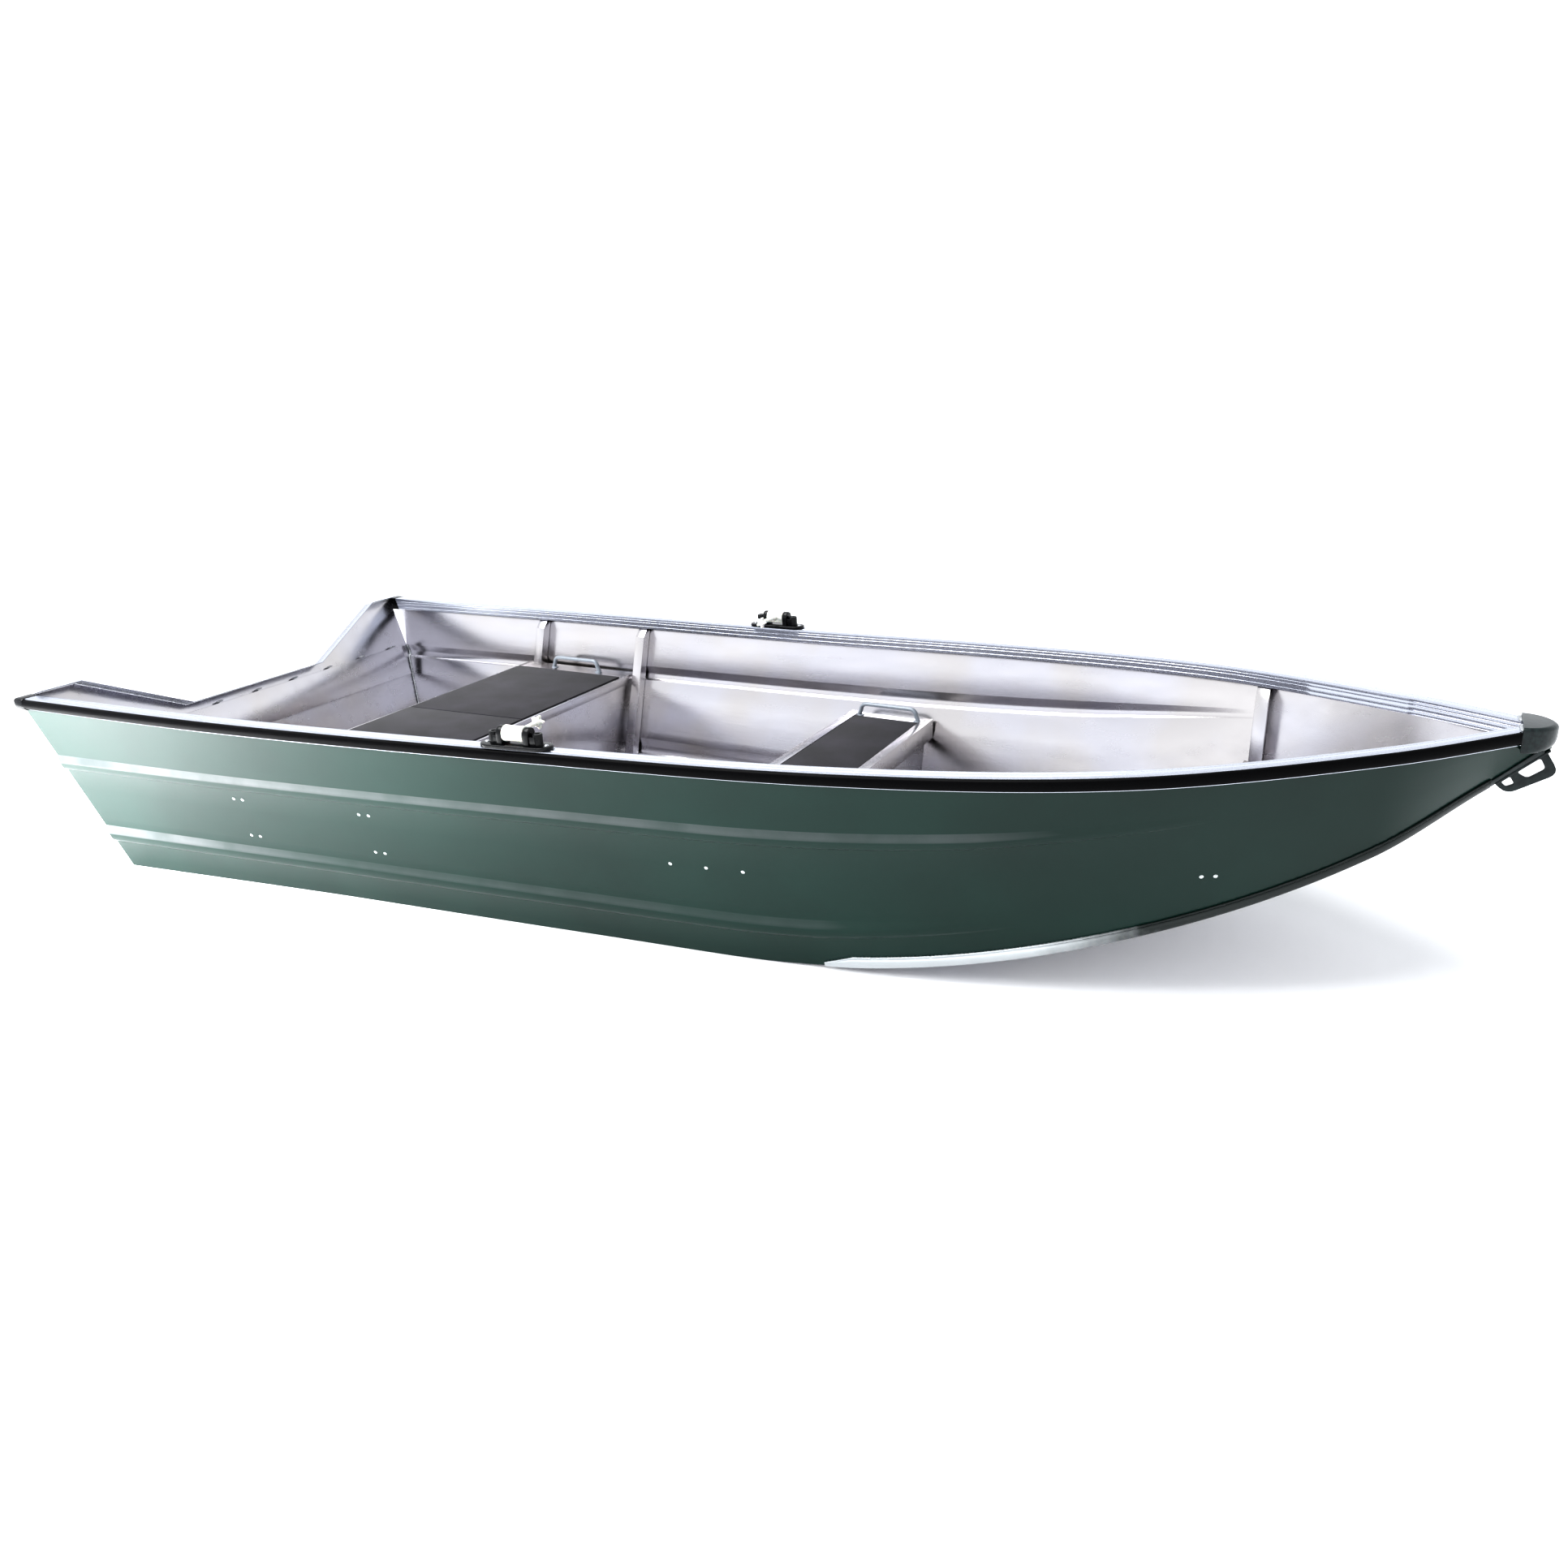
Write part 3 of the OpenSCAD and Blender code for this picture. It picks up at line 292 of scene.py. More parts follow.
def addRings(shape, rings, materialAt=None, caps=True):
    count = len(rings[0])
    first = len(shape["points"])
    for ring in rings:
        shape["points"].extend(Vector(p) for p in ring)
    for i in range(len(rings) - 1):
        for j in range(count):
            a = first + i * count + j
            b = first + i * count + (j + 1) % count
            shape["faces"].append(([a, b, b + count, a + count], materialAt(j) if materialAt else 0))
    if caps:
        last = first + (len(rings) - 1) * count
        shape["faces"].append(([first + j for j in reversed(range(count))], materialAt(0) if materialAt else 0))
        shape["faces"].append(([last + j for j in range(count)], materialAt(0) if materialAt else 0))


# a prism along z whose top and bottom edges are rounded by soft; the outline runs anticlockwise
def addPrism(shape, outline, low, high, soft, place=Matrix.Identity(4), steps=3, softLow=None):
    count = len(outline)
    inward = []
    for i in range(count):
        before, here, after = (Vector(outline[(i + k) % count]) for k in (-1, 0, 1))
        e0 = (here - before).normalized()
        e1 = (after - here).normalized()
        n = Vector((-e0.y - e1.y, e0.x + e1.x))
        n = n.normalized() / max(0.35, math.sqrt(max(0.0, (1 + e0.dot(e1)) / 2))) if n.length else Vector((0, 0))
        inward.append(n)
    softLow = soft if softLow is None else softLow
    rows = [(softLow * (1 - math.sin(a)), low + softLow * (1 - math.cos(a)))
            for a in (math.pi / 2 * k / steps for k in range(steps + 1))]
    rows += [(soft * (1 - math.cos(a)), high - soft * (1 - math.sin(a)))
             for a in (math.pi / 2 * k / steps for k in range(steps + 1))]
    rings = [[place @ Vector((p[0] + n.x * inset, p[1] + n.y * inset, z)) for p, n in zip(outline, inward)]
             for inset, z in rows]
    addRings(shape, rings)


def addLathe(shape, line, place=Matrix.Identity(4), around=32):
    turns = [2 * math.pi * k / around for k in range(around)]
    rings = [[place @ Vector((r * math.cos(a), r * math.sin(a), z)) for a in turns] for r, z in line]
    addRings(shape, rings)


# a tube along a path; wide and high are its half sizes across and along up
def addSweep(shape, path, wide, high, up, around=16, lump=None):
    rings = []
    for i, p in enumerate(path):
        a = Vector(path[max(i - 1, 0)])
        b = Vector(path[min(i + 1, len(path) - 1)])
        ahead = (b - a).normalized()
        side = ahead.cross(Vector(up)).normalized()
        over = side.cross(ahead)
        grow = lump(i) if lump else 1.0
        rings.append([Vector(p) + side * wide * grow * math.cos(t) + over * high * grow * math.sin(t)
                      for t in (2 * math.pi * k / around for k in range(around))])
    addRings(shape, rings)


def finishPiece(shape, name, body, materials, nodes=(), mirror=False, smoothAngle=32, subdivide=0):
    mesh = bpy.data.meshes.new(name)
    points = [(p[0], -p[1], p[2]) if mirror else tuple(p) for p in shape["points"]]
    mesh.from_pydata(points, [], [face for face, _ in shape["faces"]])
    for polygon, (_, index) in zip(mesh.polygons, shape["faces"]):
        polygon.material_index = index
    for material in materials:
        mesh.materials.append(material)
    shell = bmesh.new()
    shell.from_mesh(mesh)
    bmesh.ops.recalc_face_normals(shell, faces=shell.faces)
    shell.to_mesh(mesh)
    shell.free()
    mesh.shade_smooth()
    mesh.set_sharp_from_angle(angle=math.radians(smoothAngle))
    piece = bpy.data.objects.new(name, mesh)
    bpy.context.scene.collection.objects.link(piece)
    if subdivide:
        rounding = piece.modifiers.new("rounding", "SUBSURF")
        rounding.levels = subdivide
        rounding.render_levels = subdivide
    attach(piece, body)
    if nodes:
        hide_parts(*nodes)
    return piece


# a copy of a CAD node with its flat faces joined and its edges rounded by width
def softened(node, name, width, steps=2, angle=28):
    shell = bmesh.new()
    shell.from_mesh(frame["nodes"][node].data)
    bmesh.ops.remove_doubles(shell, verts=shell.verts, dist=1e-5)
    bmesh.ops.dissolve_limit(shell, angle_limit=math.radians(0.6), verts=shell.verts, edges=shell.edges)
    sharp = [e for e in shell.edges if len(e.link_faces) == 2 and e.calc_face_angle() > math.radians(angle)]
    bmesh.ops.bevel(shell, geom=sharp, offset=width, segments=steps, profile=0.5, affect="EDGES", clamp_overlap=True)
    mesh = bpy.data.meshes.new(name)
    shell.to_mesh(mesh)
    shell.free()
    mesh.materials.append(finishes[slotOf[node]])
    mesh.shade_smooth()
    mesh.set_sharp_from_angle(angle=math.radians(34))
    piece = bpy.data.objects.new(name, mesh)
    bpy.context.scene.collection.objects.link(piece)
    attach(piece, bodyOf[node])
    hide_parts(node)
    return piece


# ---- hull lines, the same curves as the CAD sheets ----

hull = {
    "stern": -1.844, "length": 3.681, "half": 0.75, "depth": 0.516, "bowRise": 0.076, "stemFoot": 0.459,
    "stemHead": 0.544, "sheet": 0.003, "rake": math.radians(17.5), "liftFrom": 0.549, "stemAt": 0.975,
    "gunwaleAt": [0, 0.2, 0.45, 0.65, 0.8, 0.92, 1],
    "gunwalePlan": [1, 0.987, 0.905, 0.824, 0.655, 0.325, 0.016],
    "chineAt": [0, 0.2, 0.45, 0.65, 0.8, 0.92, 0.975, 1],
    "chinePlan": [0.838, 0.767, 0.685, 0.606, 0.468, 0.265, 0.0105, 0.0105],
}
capStart = 1 - 0.057 / hull["length"]


def faired(xs, ys, x):
    i = max(k for k in range(len(xs) - 1) if k == 0 or x >= xs[k])
    slopes = []
    for k in (i, i + 1):
        a, b = max(k - 1, 0), min(k + 1, len(xs) - 1)
        slopes.append((ys[b] - ys[a]) / (xs[b] - xs[a]))
    h = xs[i + 1] - xs[i]
    t = (x - xs[i]) / h
    return ((2 * t ** 3 - 3 * t * t + 1) * ys[i] + (t ** 3 - 2 * t * t + t) * h * slopes[0]
            + (3 * t * t - 2 * t ** 3) * ys[i + 1] + (t ** 3 - t * t) * h * slopes[1])


def gunwaleY(s):
    return hull["half"] * faired(hull["gunwaleAt"], hull["gunwalePlan"], s)


def gunwaleZ(s):
    return hull["depth"] + hull["bowRise"] * s ** 3.3


def chineY(s):
    share = faired(hull["chineAt"], hull["chinePlan"], s) if s < hull["stemAt"] else hull["chinePlan"][-1]
    return max(hull["half"] * share, hull["sheet"] + 0.002)


def chineZ(s):
    if s < hull["liftFrom"]:
        return 0.0
    if s < hull["stemAt"]:
        return hull["stemFoot"] * ((s - hull["liftFrom"]) / (hull["stemAt"] - hull["liftFrom"])) ** 2.1
    t = (s - hull["stemAt"]) / (1 - hull["stemAt"])
    return hull["stemFoot"] + (hull["stemHead"] - hull["stemFoot"]) * t


def placed(s, y, z):
    lean = math.tan(hull["rake"]) * max(0, 1 - 4 * s)
    return Vector((hull["stern"] + s * hull["length"] + lean * (hull["depth"] - z), y, z))


def stationOf(x, z):
    r = math.tan(hull["rake"]) * (hull["depth"] - z)
    s = (x - r) / (hull["length"] - 4 * r)
    return s if s < 0.25 else x / hull["length"]


def sideFrame(s):
    top = Vector((gunwaleY(s) - 0.0033, gunwaleZ(s) - 0.0048))
    foot = Vector((chineY(s), chineZ(s)))
    up = (top - foot).normalized()
    return top, up, Vector((up.y, -up.x)), (top - foot).length


def sidePoint(s, down, out):
    top, up, outward, _ = sideFrame(s)
    p = top - up * down + outward * out
    return placed(s, p.x, p.y)


def fade(s, start, end):
    return min(1, max(0, (end - s) / (end - start)))


def stationRow(count):
    row = [hull["stemAt"] * t * (1.5 - 0.5 * t) for t in (k / count for k in range(count + 1))]
    return row + [capStart + (1 - capStart) * k / 6 for k in range(7)]


# half breadth inside the side sheet, at x from the stern
def insideY(x, z):
    s = stationOf(x, z)
    top, _, outward, _ = sideFrame(s)
    t = (top.y - z) / (top.y - chineZ(s))
    return top.x + (chineY(s) - top.x) * t - hull["sheet"] / outward.x


# ---- side sheets: pressed strakes, green outside and bare inside ----

strakes = {
    "out": 0.008, "upperHeight": 0.046, "lowerHeight": 0.054, "rows": 150,
    "line": [(0, 0), (0.02, 0.04), (0.1, 0.2), (0.2, 0.4), (0.3, 0.61), (0.4, 0.82), (0.47, 0.95), (0.52, 1),
             (0.64, 1), (0.74, 0.97), (0.82, 0.87), (0.88, 0.62), (0.93, 0.3), (0.965, 0.08), (1, 0)],
}


def sideLine(s):
    length = sideFrame(s)[3]
    share = length / sideFrame(0)[3]
    line = [(0, 0), (0.02 * length, 0), (min(0.042, 0.2 * length), 0)]
    for down, height, first, last in ((length * (0.322 - 0.062 * s), strakes["upperHeight"], 0.72, 0.84),
                                      (length * 0.745, strakes["lowerHeight"], 0.62, 0.74)):
        height = height * share * fade(s, first, 1.1)
        out = strakes["out"] * fade(s, first, last)
        line += [(down + height * t, out * rise) for t, rise in strakes["line"]]
        if first > 0.7:
            line += [(0.52 * length, 0), (0.62 * length, 0), (0.7 * length, 0)]
    return line + [(max(length - 0.026, 0.9 * length), 0), (0.99 * length, 0), (length, 0)]


def sideSheet(name, node, mirror):
    shape = newShape()
    rings = []
    for s in stationRow(strakes["rows"]):
        line = sideLine(s)
        ring = [sidePoint(s, down, out) for down, out in line]
        ring += [sidePoint(s, down, out - hull["sheet"]) for down, out in reversed(line)]
        rings.append(ring)
    outside = len(rings[0]) // 2 - 1
    addRings(shape, rings, lambda j: 0 if j < outside else 1)
    return finishPiece(shape, name, "hull", [finishes["green_paint"], finishes["bare_sheet"]],
                       [node], mirror, 24)


sideSheet("portSideSheet", "port_side_sheet", False)
sideSheet("starboardSideSheet", "starboard_side_sheet", True)
print("side sheets done")


# ---- gunwales and rub rails ----

gunwale = {
    "flange": 0.042, "inner": 0.038, "outer": 0.030, "wall": 0.003, "round": 0.0022,
    "topGrooves": [-0.012, -0.030], "legGrooves": [-0.009, -0.0165, -0.0285], "groove": 0.0008, "rows": 110,
}


def gunwaleLine():
    w, r, g = gunwale["wall"], gunwale["round"], gunwale["groove"]
    line = [(0, -gunwale["outer"]), (0, -r), (-0.3 * r, -0.3 * r), (-r, 0)]
    for y in gunwale["topGrooves"]:
        line += [(y + 0.0016, 0), (y + 0.0008, -g), (y - 0.0008, -g), (y - 0.0016, 0)]
    f = -gunwale["flange"]
    line += [(f + r, 0), (f + 0.3 * r, -0.3 * r), (f, -r)]
    for z in gunwale["legGrooves"]:
        line += [(f, z + 0.0016), (f + g, z + 0.0008), (f + g, z - 0.0008), (f, z - 0.0016)]
    line += [(f, -gunwale["inner"] + 0.001), (f + 0.001, -gunwale["inner"]), (f + w, -gunwale["inner"])]
    return line + [(f + w, -w), (-w, -w), (-w, -gunwale["outer"])]


railRow = [s for s in stationRow(gunwale["rows"]) if s < capStart - 0.0004] + [capStart - 0.0001]
plugLength = 0.0075
rubberRow = [plugLength - 0.0004] + [s for s in railRow if s > plugLength]


def gunwaleBar(name, node, mirror):
    shape = newShape()
    line = gunwaleLine()
    addRings(shape, [[placed(s, gunwaleY(s) + y, gunwaleZ(s) + z) for y, z in line] for s in railRow])
    return finishPiece(shape, name, "hull", [finishes["extrusion"]], [node], mirror, 40)


rail = {"height": 0.026, "out": 0.012, "drop": 0.002, "gap": 0.0003}


def rubRail(name, node, mirror):
    shape = newShape()
    r, d = rail["height"] / 2, rail["out"] - rail["gap"]
    turn = [math.radians(86 - 172 * k / 20) for k in range(21)]
    line = [(rail["gap"] + d * math.cos(a) ** 0.75, -rail["drop"] - r + r * math.sin(a)) for a in turn]
    line += [(rail["gap"], -rail["drop"] - 2 * r + 0.001), (rail["gap"], -rail["drop"] - 0.001)]
    addRings(shape, [[placed(s, gunwaleY(s) + y, gunwaleZ(s) + z) for y, z in line] for s in rubberRow])
    return finishPiece(shape, name, "hull", [finishes["black_rubber"]], [node], mirror, 45)


for side, mirror in (("port", False), ("starboard", True)):
    gunwaleBar(side + "GunwaleBar", side + "_gunwale", mirror)
    rubRail(side + "RubberRail", side + "_rub_rail", mirror)

# moulded plugs that sleeve over the stern ends of the gunwale and its rubber
plug = {"start": -0.00155, "skin": 0.0012, "bulge": 0.0119}
plugLine = [(-0.043, -0.001), (-0.0415, 0.0012), (0, 0.0012), (0.0065, -0.0003), (0.0102, -0.0045),
            (plug["bulge"], -0.0105), (plug["bulge"], -0.0195), (0.0102, -0.0255), (0.0065, -0.0297),
            (0, -0.0312), (-0.0042, -0.0312), (-0.0042, -0.0045), (-0.0385, -0.0045), (-0.0385, -0.0388), (-0.043, -0.0388)]
plugs = newShape()
for mirror in (1, -1):
    rings = []
    for s, shrink in ((plug["start"], 0.0016), (plug["start"] + 0.0003, 0.0004), (plug["start"] + 0.0008, 0),
                      (plugLength - 0.0005, 0), (plugLength, 0.0007)):
        rings.append([])
        for y, z in plugLine:
            y = y - shrink if y > -0.001 else y
            z = z - shrink if z > -0.001 else z
            rings[-1].append(placed(s, mirror * (gunwaleY(max(0, s)) + y), gunwaleZ(max(0, s)) + z))
    addRings(plugs, rings)
finishPiece(plugs, "sternCornerPlugs", "hull", [finishes["black_plastic"]],
            ["stern_corner_caps"], smoothAngle=36)
print("gunwales done")


# ---- sheet metal and castings kept from the CAD, with rounded edges ----

edges = {
    "bottom_sheet": 0.0006, "transom": 0.0006, "transom_rim": 0.0008, "transom_board": 0.0008,
    "stem_bar": 0.0014, "eye_plate": 0.0026,
    "aft_frames": 0.0008, "middle_frames": 0.0008, "bow_frames": 0.0008,
    "aft_thwart_top": 0.0008, "aft_thwart_front": 0.0006, "aft_thwart_rear": 0.0006,
    "middle_thwart_top": 0.0008, "middle_thwart_front": 0.0006, "middle_thwart_rear": 0.0006,
    "bow_seat": 0.0008, "bow_panel": 0.0006, "aft_foam": 0.004, "middle_foam": 0.004,
    "oar_screws": 0.0002, "port_rivets": 0.0002, "starboard_rivets": 0.0002, "drain_socket": 0.0008,
    "drain_plug": 0.0012,
}
for node, width in edges.items():
    words = node.split("_")
    softened(node, words[0] + "".join(w.capitalize() for w in words[1:]) + "Piece", width)

# the bow casting: parabolic in plan, its nose rounded and drawn back below
bowCap = {"wide": 0.006, "round": 0.008, "across": 36}
capLow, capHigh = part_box("bow_cap")
capReach, capDepth = capHigh.x - capLow.x, capHigh.z - capLow.z
capWide = gunwaleY(capStart) + bowCap["wide"]
drawn = [(0, 0.0130, 0.002), (0.002, 0.0105, 0.0006), (0.006, 0.0062, 0), (0.011, 0.0032, 0), (0.017, 0.0012, 0),
         (0.024, 0.0002, 0), (0.031, 0, 0)]
for k in range(9):
    a = math.pi / 2 * k / 8
    drawn.append((capDepth - bowCap["round"] * (1 - math.sin(a)), 0.0004 * k, bowCap["round"] * (1 - math.cos(a))))
shape = newShape()
rings = []
for height, back, inset in drawn:
    rings.append([])
    for k in range(bowCap["across"] + 1):
        t = math.sin(math.pi * (k / bowCap["across"] - 0.5))
        reach = capReach - back - inset
        wide = capWide - inset
        rings[-1].append((capLow.x + inset * 0.1 + (reach - inset * 0.1) * (1 - t * t) ** 0.5, wide * t * abs(t) ** 0.15, height + capLow.z))
addRings(shape, rings)
finishPiece(shape, "bowCapCasting", "hull", [finishes["dark_paint"]], ["bow_cap"], smoothAngle=40)
print("sheet metal done")


# ---- weld beads ----

beads = {"pitch": 0.0026, "ripple": 0.16, "seed": 7}


def addBead(shape, path, radius, seed):
    points = [Vector(path[0])]
    for a, b in zip(path, path[1:]):
        a, b = Vector(a), Vector(b)
        count = max(1, round((b - a).length / beads["pitch"]))
        points += [a.lerp(b, k / count) for k in range(1, count + 1)]

    def lump(i):
        tail = min(1.0, 0.35 + min(i, len(points) - 1 - i) * 0.25)
        wobble = noise.noise(points[i] * 120 + Vector((seed, 0, 0)))
        return tail * (1 + beads["ripple"] * math.sin(i * 1.9) + 0.3 * wobble)

    addSweep(shape, points, radius, radius * 0.7, (0, 0.3, 1), 8, lump)


bar = {"high": 0.026, "thick": 0.009, "lift": 0.003, "from": 0.62, "to": 0.9735, "bowHigh": 0.017, "rows": 130}


# a flat bar with a round outer face along each forward chine, welded along its top
def chineBar(name, node, mirror):
    shape = newShape()
    rings = []
    upperEdge = []
    for k in range(bar["rows"] + 1):
        s = bar["from"] + (bar["to"] - bar["from"]) * k / bar["rows"]
        length = sideFrame(s)[3]
        taper = min(1.0, 0.3 + k * 0.1)
        slim = min(1.0, max(0.0, (s - 0.74) / 0.16))
        top = length - (bar["high"] + (bar["bowHigh"] - bar["high"]) * slim) * taper
        foot = length + bar["lift"]
        middle, half = (top + foot) / 2, (foot - top) / 2
        face = [(middle - half * math.cos(a), 0.0006 + (bar["thick"] * taper - 0.0006) * math.sin(a) ** 0.6)
                for a in (math.pi * j / 12 for j in range(13))]
        rings.append([sidePoint(s, down, out) for down, out in face])
        upperEdge.append(sidePoint(s, top - 0.0015, 0.002))
    addRings(shape, rings)
    piece = finishPiece(shape, name, "hull", [finishes["bar_aluminium"]], [node], mirror, 50)
    seam = newShape()
    addBead(seam, upperEdge, 0.0034, beads["seed"])
    finishPiece(seam, name + "Weld", "hull", [finishes["bar_aluminium"]], mirror=mirror, smoothAngle=60)
    return piece


for side, mirror in (("port", False), ("starboard", True)):
    chineBar(side + "ChineBar", side + "_chine_bar", mirror)

# the strap that folds over the stem edge, from the chine bars up to the bow cap
strap = {"from": 0.9725, "to": 0.997, "high": 0.016, "thick": 0.0042, "rows": 14}
for side, mirror in (("port", False), ("starboard", True)):
    shape = newShape()
    rings = []
    for k in range(strap["rows"] + 1):
        s = strap["from"] + (strap["to"] - strap["from"]) * k / strap["rows"]
        length = sideFrame(s)[3]
        rings.append([sidePoint(s, down, out) for down, out in (
            (length - strap["high"], 0.0005), (length - strap["high"] + 0.0006, strap["thick"] - 0.001),
            (length - strap["high"] + 0.002, strap["thick"]), (length, strap["thick"]),
            (length + 0.003, strap["thick"] - 0.001), (length + 0.004, 0.0005))])
    addRings(shape, rings)
    finishPiece(shape, side + "StemStrap", "hull", [finishes["dark_paint"]], mirror=mirror, smoothAngle=40)

# lumpy welds where the gunwales meet the bow cap
capSeam = newShape()
y, z = gunwaleY(capStart), gunwaleZ(capStart)
for hand in (1, -1):
    addBead(capSeam, [(capLow.x - 0.001, hand * (y + 0.001), z + 0.0005),
                      (capLow.x - 0.001, hand * (y - 0.046), z + 0.0005)], 0.0048, 11 + hand)
    addBead(capSeam, [(capLow.x - 0.001, hand * (y + 0.002), z - 0.002),
                      (capLow.x - 0.001, hand * (y + 0.002), z - 0.03)], 0.0028, 15 + hand)
finishPiece(capSeam, "bowCapWelds", "hull", [finishes["weld"]], smoothAngle=60)

transomSeam = {"radius": 0.003, "out": -0.0035}
for side, mirror in (("port", False), ("starboard", True)):
    seam = newShape()
    line = [(down, out) for down, out in sideLine(0) if down > 0.05]
    addBead(seam, [sidePoint(0, down, out - 0.002) + Vector((-0.0006, 0, 0)) for down, out in line],
            transomSeam["radius"] * 0.7, 3)
    addBead(seam, [sidePoint(0.0016, down, out - 0.005) for down, out in line], transomSeam["radius"], 5)
    finishPiece(seam, side + "TransomWeld", "hull", [finishes["weld"]], mirror=mirror, smoothAngle=60)

tack = {"in": 0.0065, "half": 0.014, "radius": 0.0034}
tacks = newShape()
boardLow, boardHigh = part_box("transom_board")
for k in range(9):
    y = boardLow.y + 0.03 + (boardHigh.y - boardLow.y - 0.06) * k / 8
    x = boardLow.x + tack["in"]
    addBead(tacks, [(x, y - tack["half"], boardHigh.z + 0.0005), (x, y + tack["half"], boardHigh.z + 0.0005)],
            tack["radius"], k)
finishPiece(tacks, "boardTackWelds", "hull", [finishes["weld"]], smoothAngle=60)
print("welds done")


# ---- seat mats ----

matShape = {"thick": 0.004, "edge": 0.0018, "aftMargin": 0.090, "midMargin": 0.064, "lift": 0.0001}


def seatMat(name, corners, low):
    shape = newShape()
    addPrism(shape, corners, low, low + matShape["thick"], matShape["edge"], steps=4, softLow=0.0004)
    piece = finishPiece(shape, name, "hull", [finishes["mat"]], smoothAngle=50)
    return piece


matLow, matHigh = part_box("aft_mats")
x0, x1 = matLow.x, matHigh.x
aftZ = matLow.z
e0, e1 = (insideY(x - hull["stern"], 0.336) - matShape["aftMargin"] for x in (x0, x1))
portMat = seatMat("aftPortMat", [(x0, 0.0465), (x1, 0.0465), (x1, e1), (x0, e0)], aftZ)
starboardMat = seatMat("aftStarboardMat", [(x0, -e0), (x1, -e1), (x1, 0.0435), (x0, 0.0435)], aftZ)
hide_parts("aft_mats")
midLow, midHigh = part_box("middle_mat")
x0, x1 = midLow.x, midHigh.x
e0, e1 = (insideY(x - hull["stern"], 0.300) - matShape["midMargin"] for x in (x0, x1))
midMat = seatMat("middleSeatMat", [(x0, -e0), (x1, -e1), (x1, e1), (x0, e0)], midLow.z)
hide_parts("middle_mat")
print("mats done")


# ---- grab handles: flat bar bent at two corners, on riveted feet ----

handle = {"length": 0.184, "height": 0.042, "wide": 0.0078, "thick": 0.0060, "bend": 0.016, "foot": 0.011}


def addHandle(shape, place, mirror):
    half, top, bend = handle["length"] / 2, handle["height"] - handle["thick"], handle["bend"]
    path = [(-half - 0.004, 0, 0.002), (-half - 0.001, 0, 0.010)]
    for k in range(9):
        a = math.radians(90 * k / 8)
        path.append((-half + bend * 1.2 * (1 - math.cos(a)) + 0.003, 0, top - bend + bend * math.sin(a)))
    path += [(-half * 0.4, 0, top), (half * 0.4, 0, top)]
    path += [(-x, y, z) for x, y, z in reversed(path[:11])]
    turned = [place @ Vector(p) for p in path]
    if mirror:
        turned = [Vector((p.x, -p.y, p.z)) for p in turned]
    across = place.to_3x3() @ Vector((0, 1, 0))
    across = Vector((across.x, -across.y if mirror else across.y, 0))
    addSweep(shape, turned, handle["thick"], handle["wide"], across, 16)
    for end in (-1, 1):
        spot = place @ Vector((end * half, 0, 0))
        spot = Vector((spot.x, -spot.y if mirror else spot.y, spot.z))
        r = handle["foot"]
        addLathe(shape, [(r * 0.2, 0), (r, 0), (r, 0.0016), (r * 0.92, 0.0026), (r * 0.5, 0.0034), (r * 0.1, 0.0036)],
                 Matrix.Translation(spot), 24)


handleLow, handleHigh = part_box("grab_handles")
handles = newShape()
for middle, z, margin in ((0.644 + 0.223 + 0.008, 0.336, 0.052), (1.908 + 0.132, 0.300, 0.046)):
    y0 = insideY(middle - handle["length"] / 2, z) - margin
    y1 = insideY(middle + handle["length"] / 2, z) - margin
    turn = Matrix.Rotation(math.atan2(y1 - y0, handle["length"]), 4, "Z")
    spot = Matrix.Translation((hull["stern"] + middle, (y0 + y1) / 2, z + 0.0001)) @ turn
    addHandle(handles, spot, False)
    addHandle(handles, spot, True)
finishPiece(handles, "grabHandleBars", "hull", [finishes["grey_handle"]], ["grab_handles"],
            smoothAngle=50)
print("handles done")


# ---- oar pins: moulded base, nylon swivel and pin, star knob ----

oar = {
    "x": 1.620, "baseLength": 0.184, "baseWidth": 0.054, "baseThick": 0.009, "swivelR": 0.019,
    "swivelLength": 0.054, "swivelZ": 0.032, "axleR": 0.007, "pinR": 0.006, "pinLength": 0.096,
    "knobR": 0.017, "knobThick": 0.018, "cheekThick": 0.015, "cheekR": 0.017, "gap": 0.0003,
}
oarS = oar["x"] / hull["length"]
oarYaw = math.atan2(gunwaleY(oarS + 0.005) - gunwaleY(oarS - 0.005), 0.01 * hull["length"])
oarPitch = math.atan2(gunwaleZ(oarS + 0.005) - gunwaleZ(oarS - 0.005), 0.01 * hull["length"])
onGunwale = (Matrix.Translation((hull["stern"] + oar["x"], gunwaleY(oarS) - gunwale["flange"] / 2, gunwaleZ(oarS)))
             @ Matrix.Rotation(oarYaw, 4, "Z") @ Matrix.Rotation(-oarPitch, 4, "Y"))


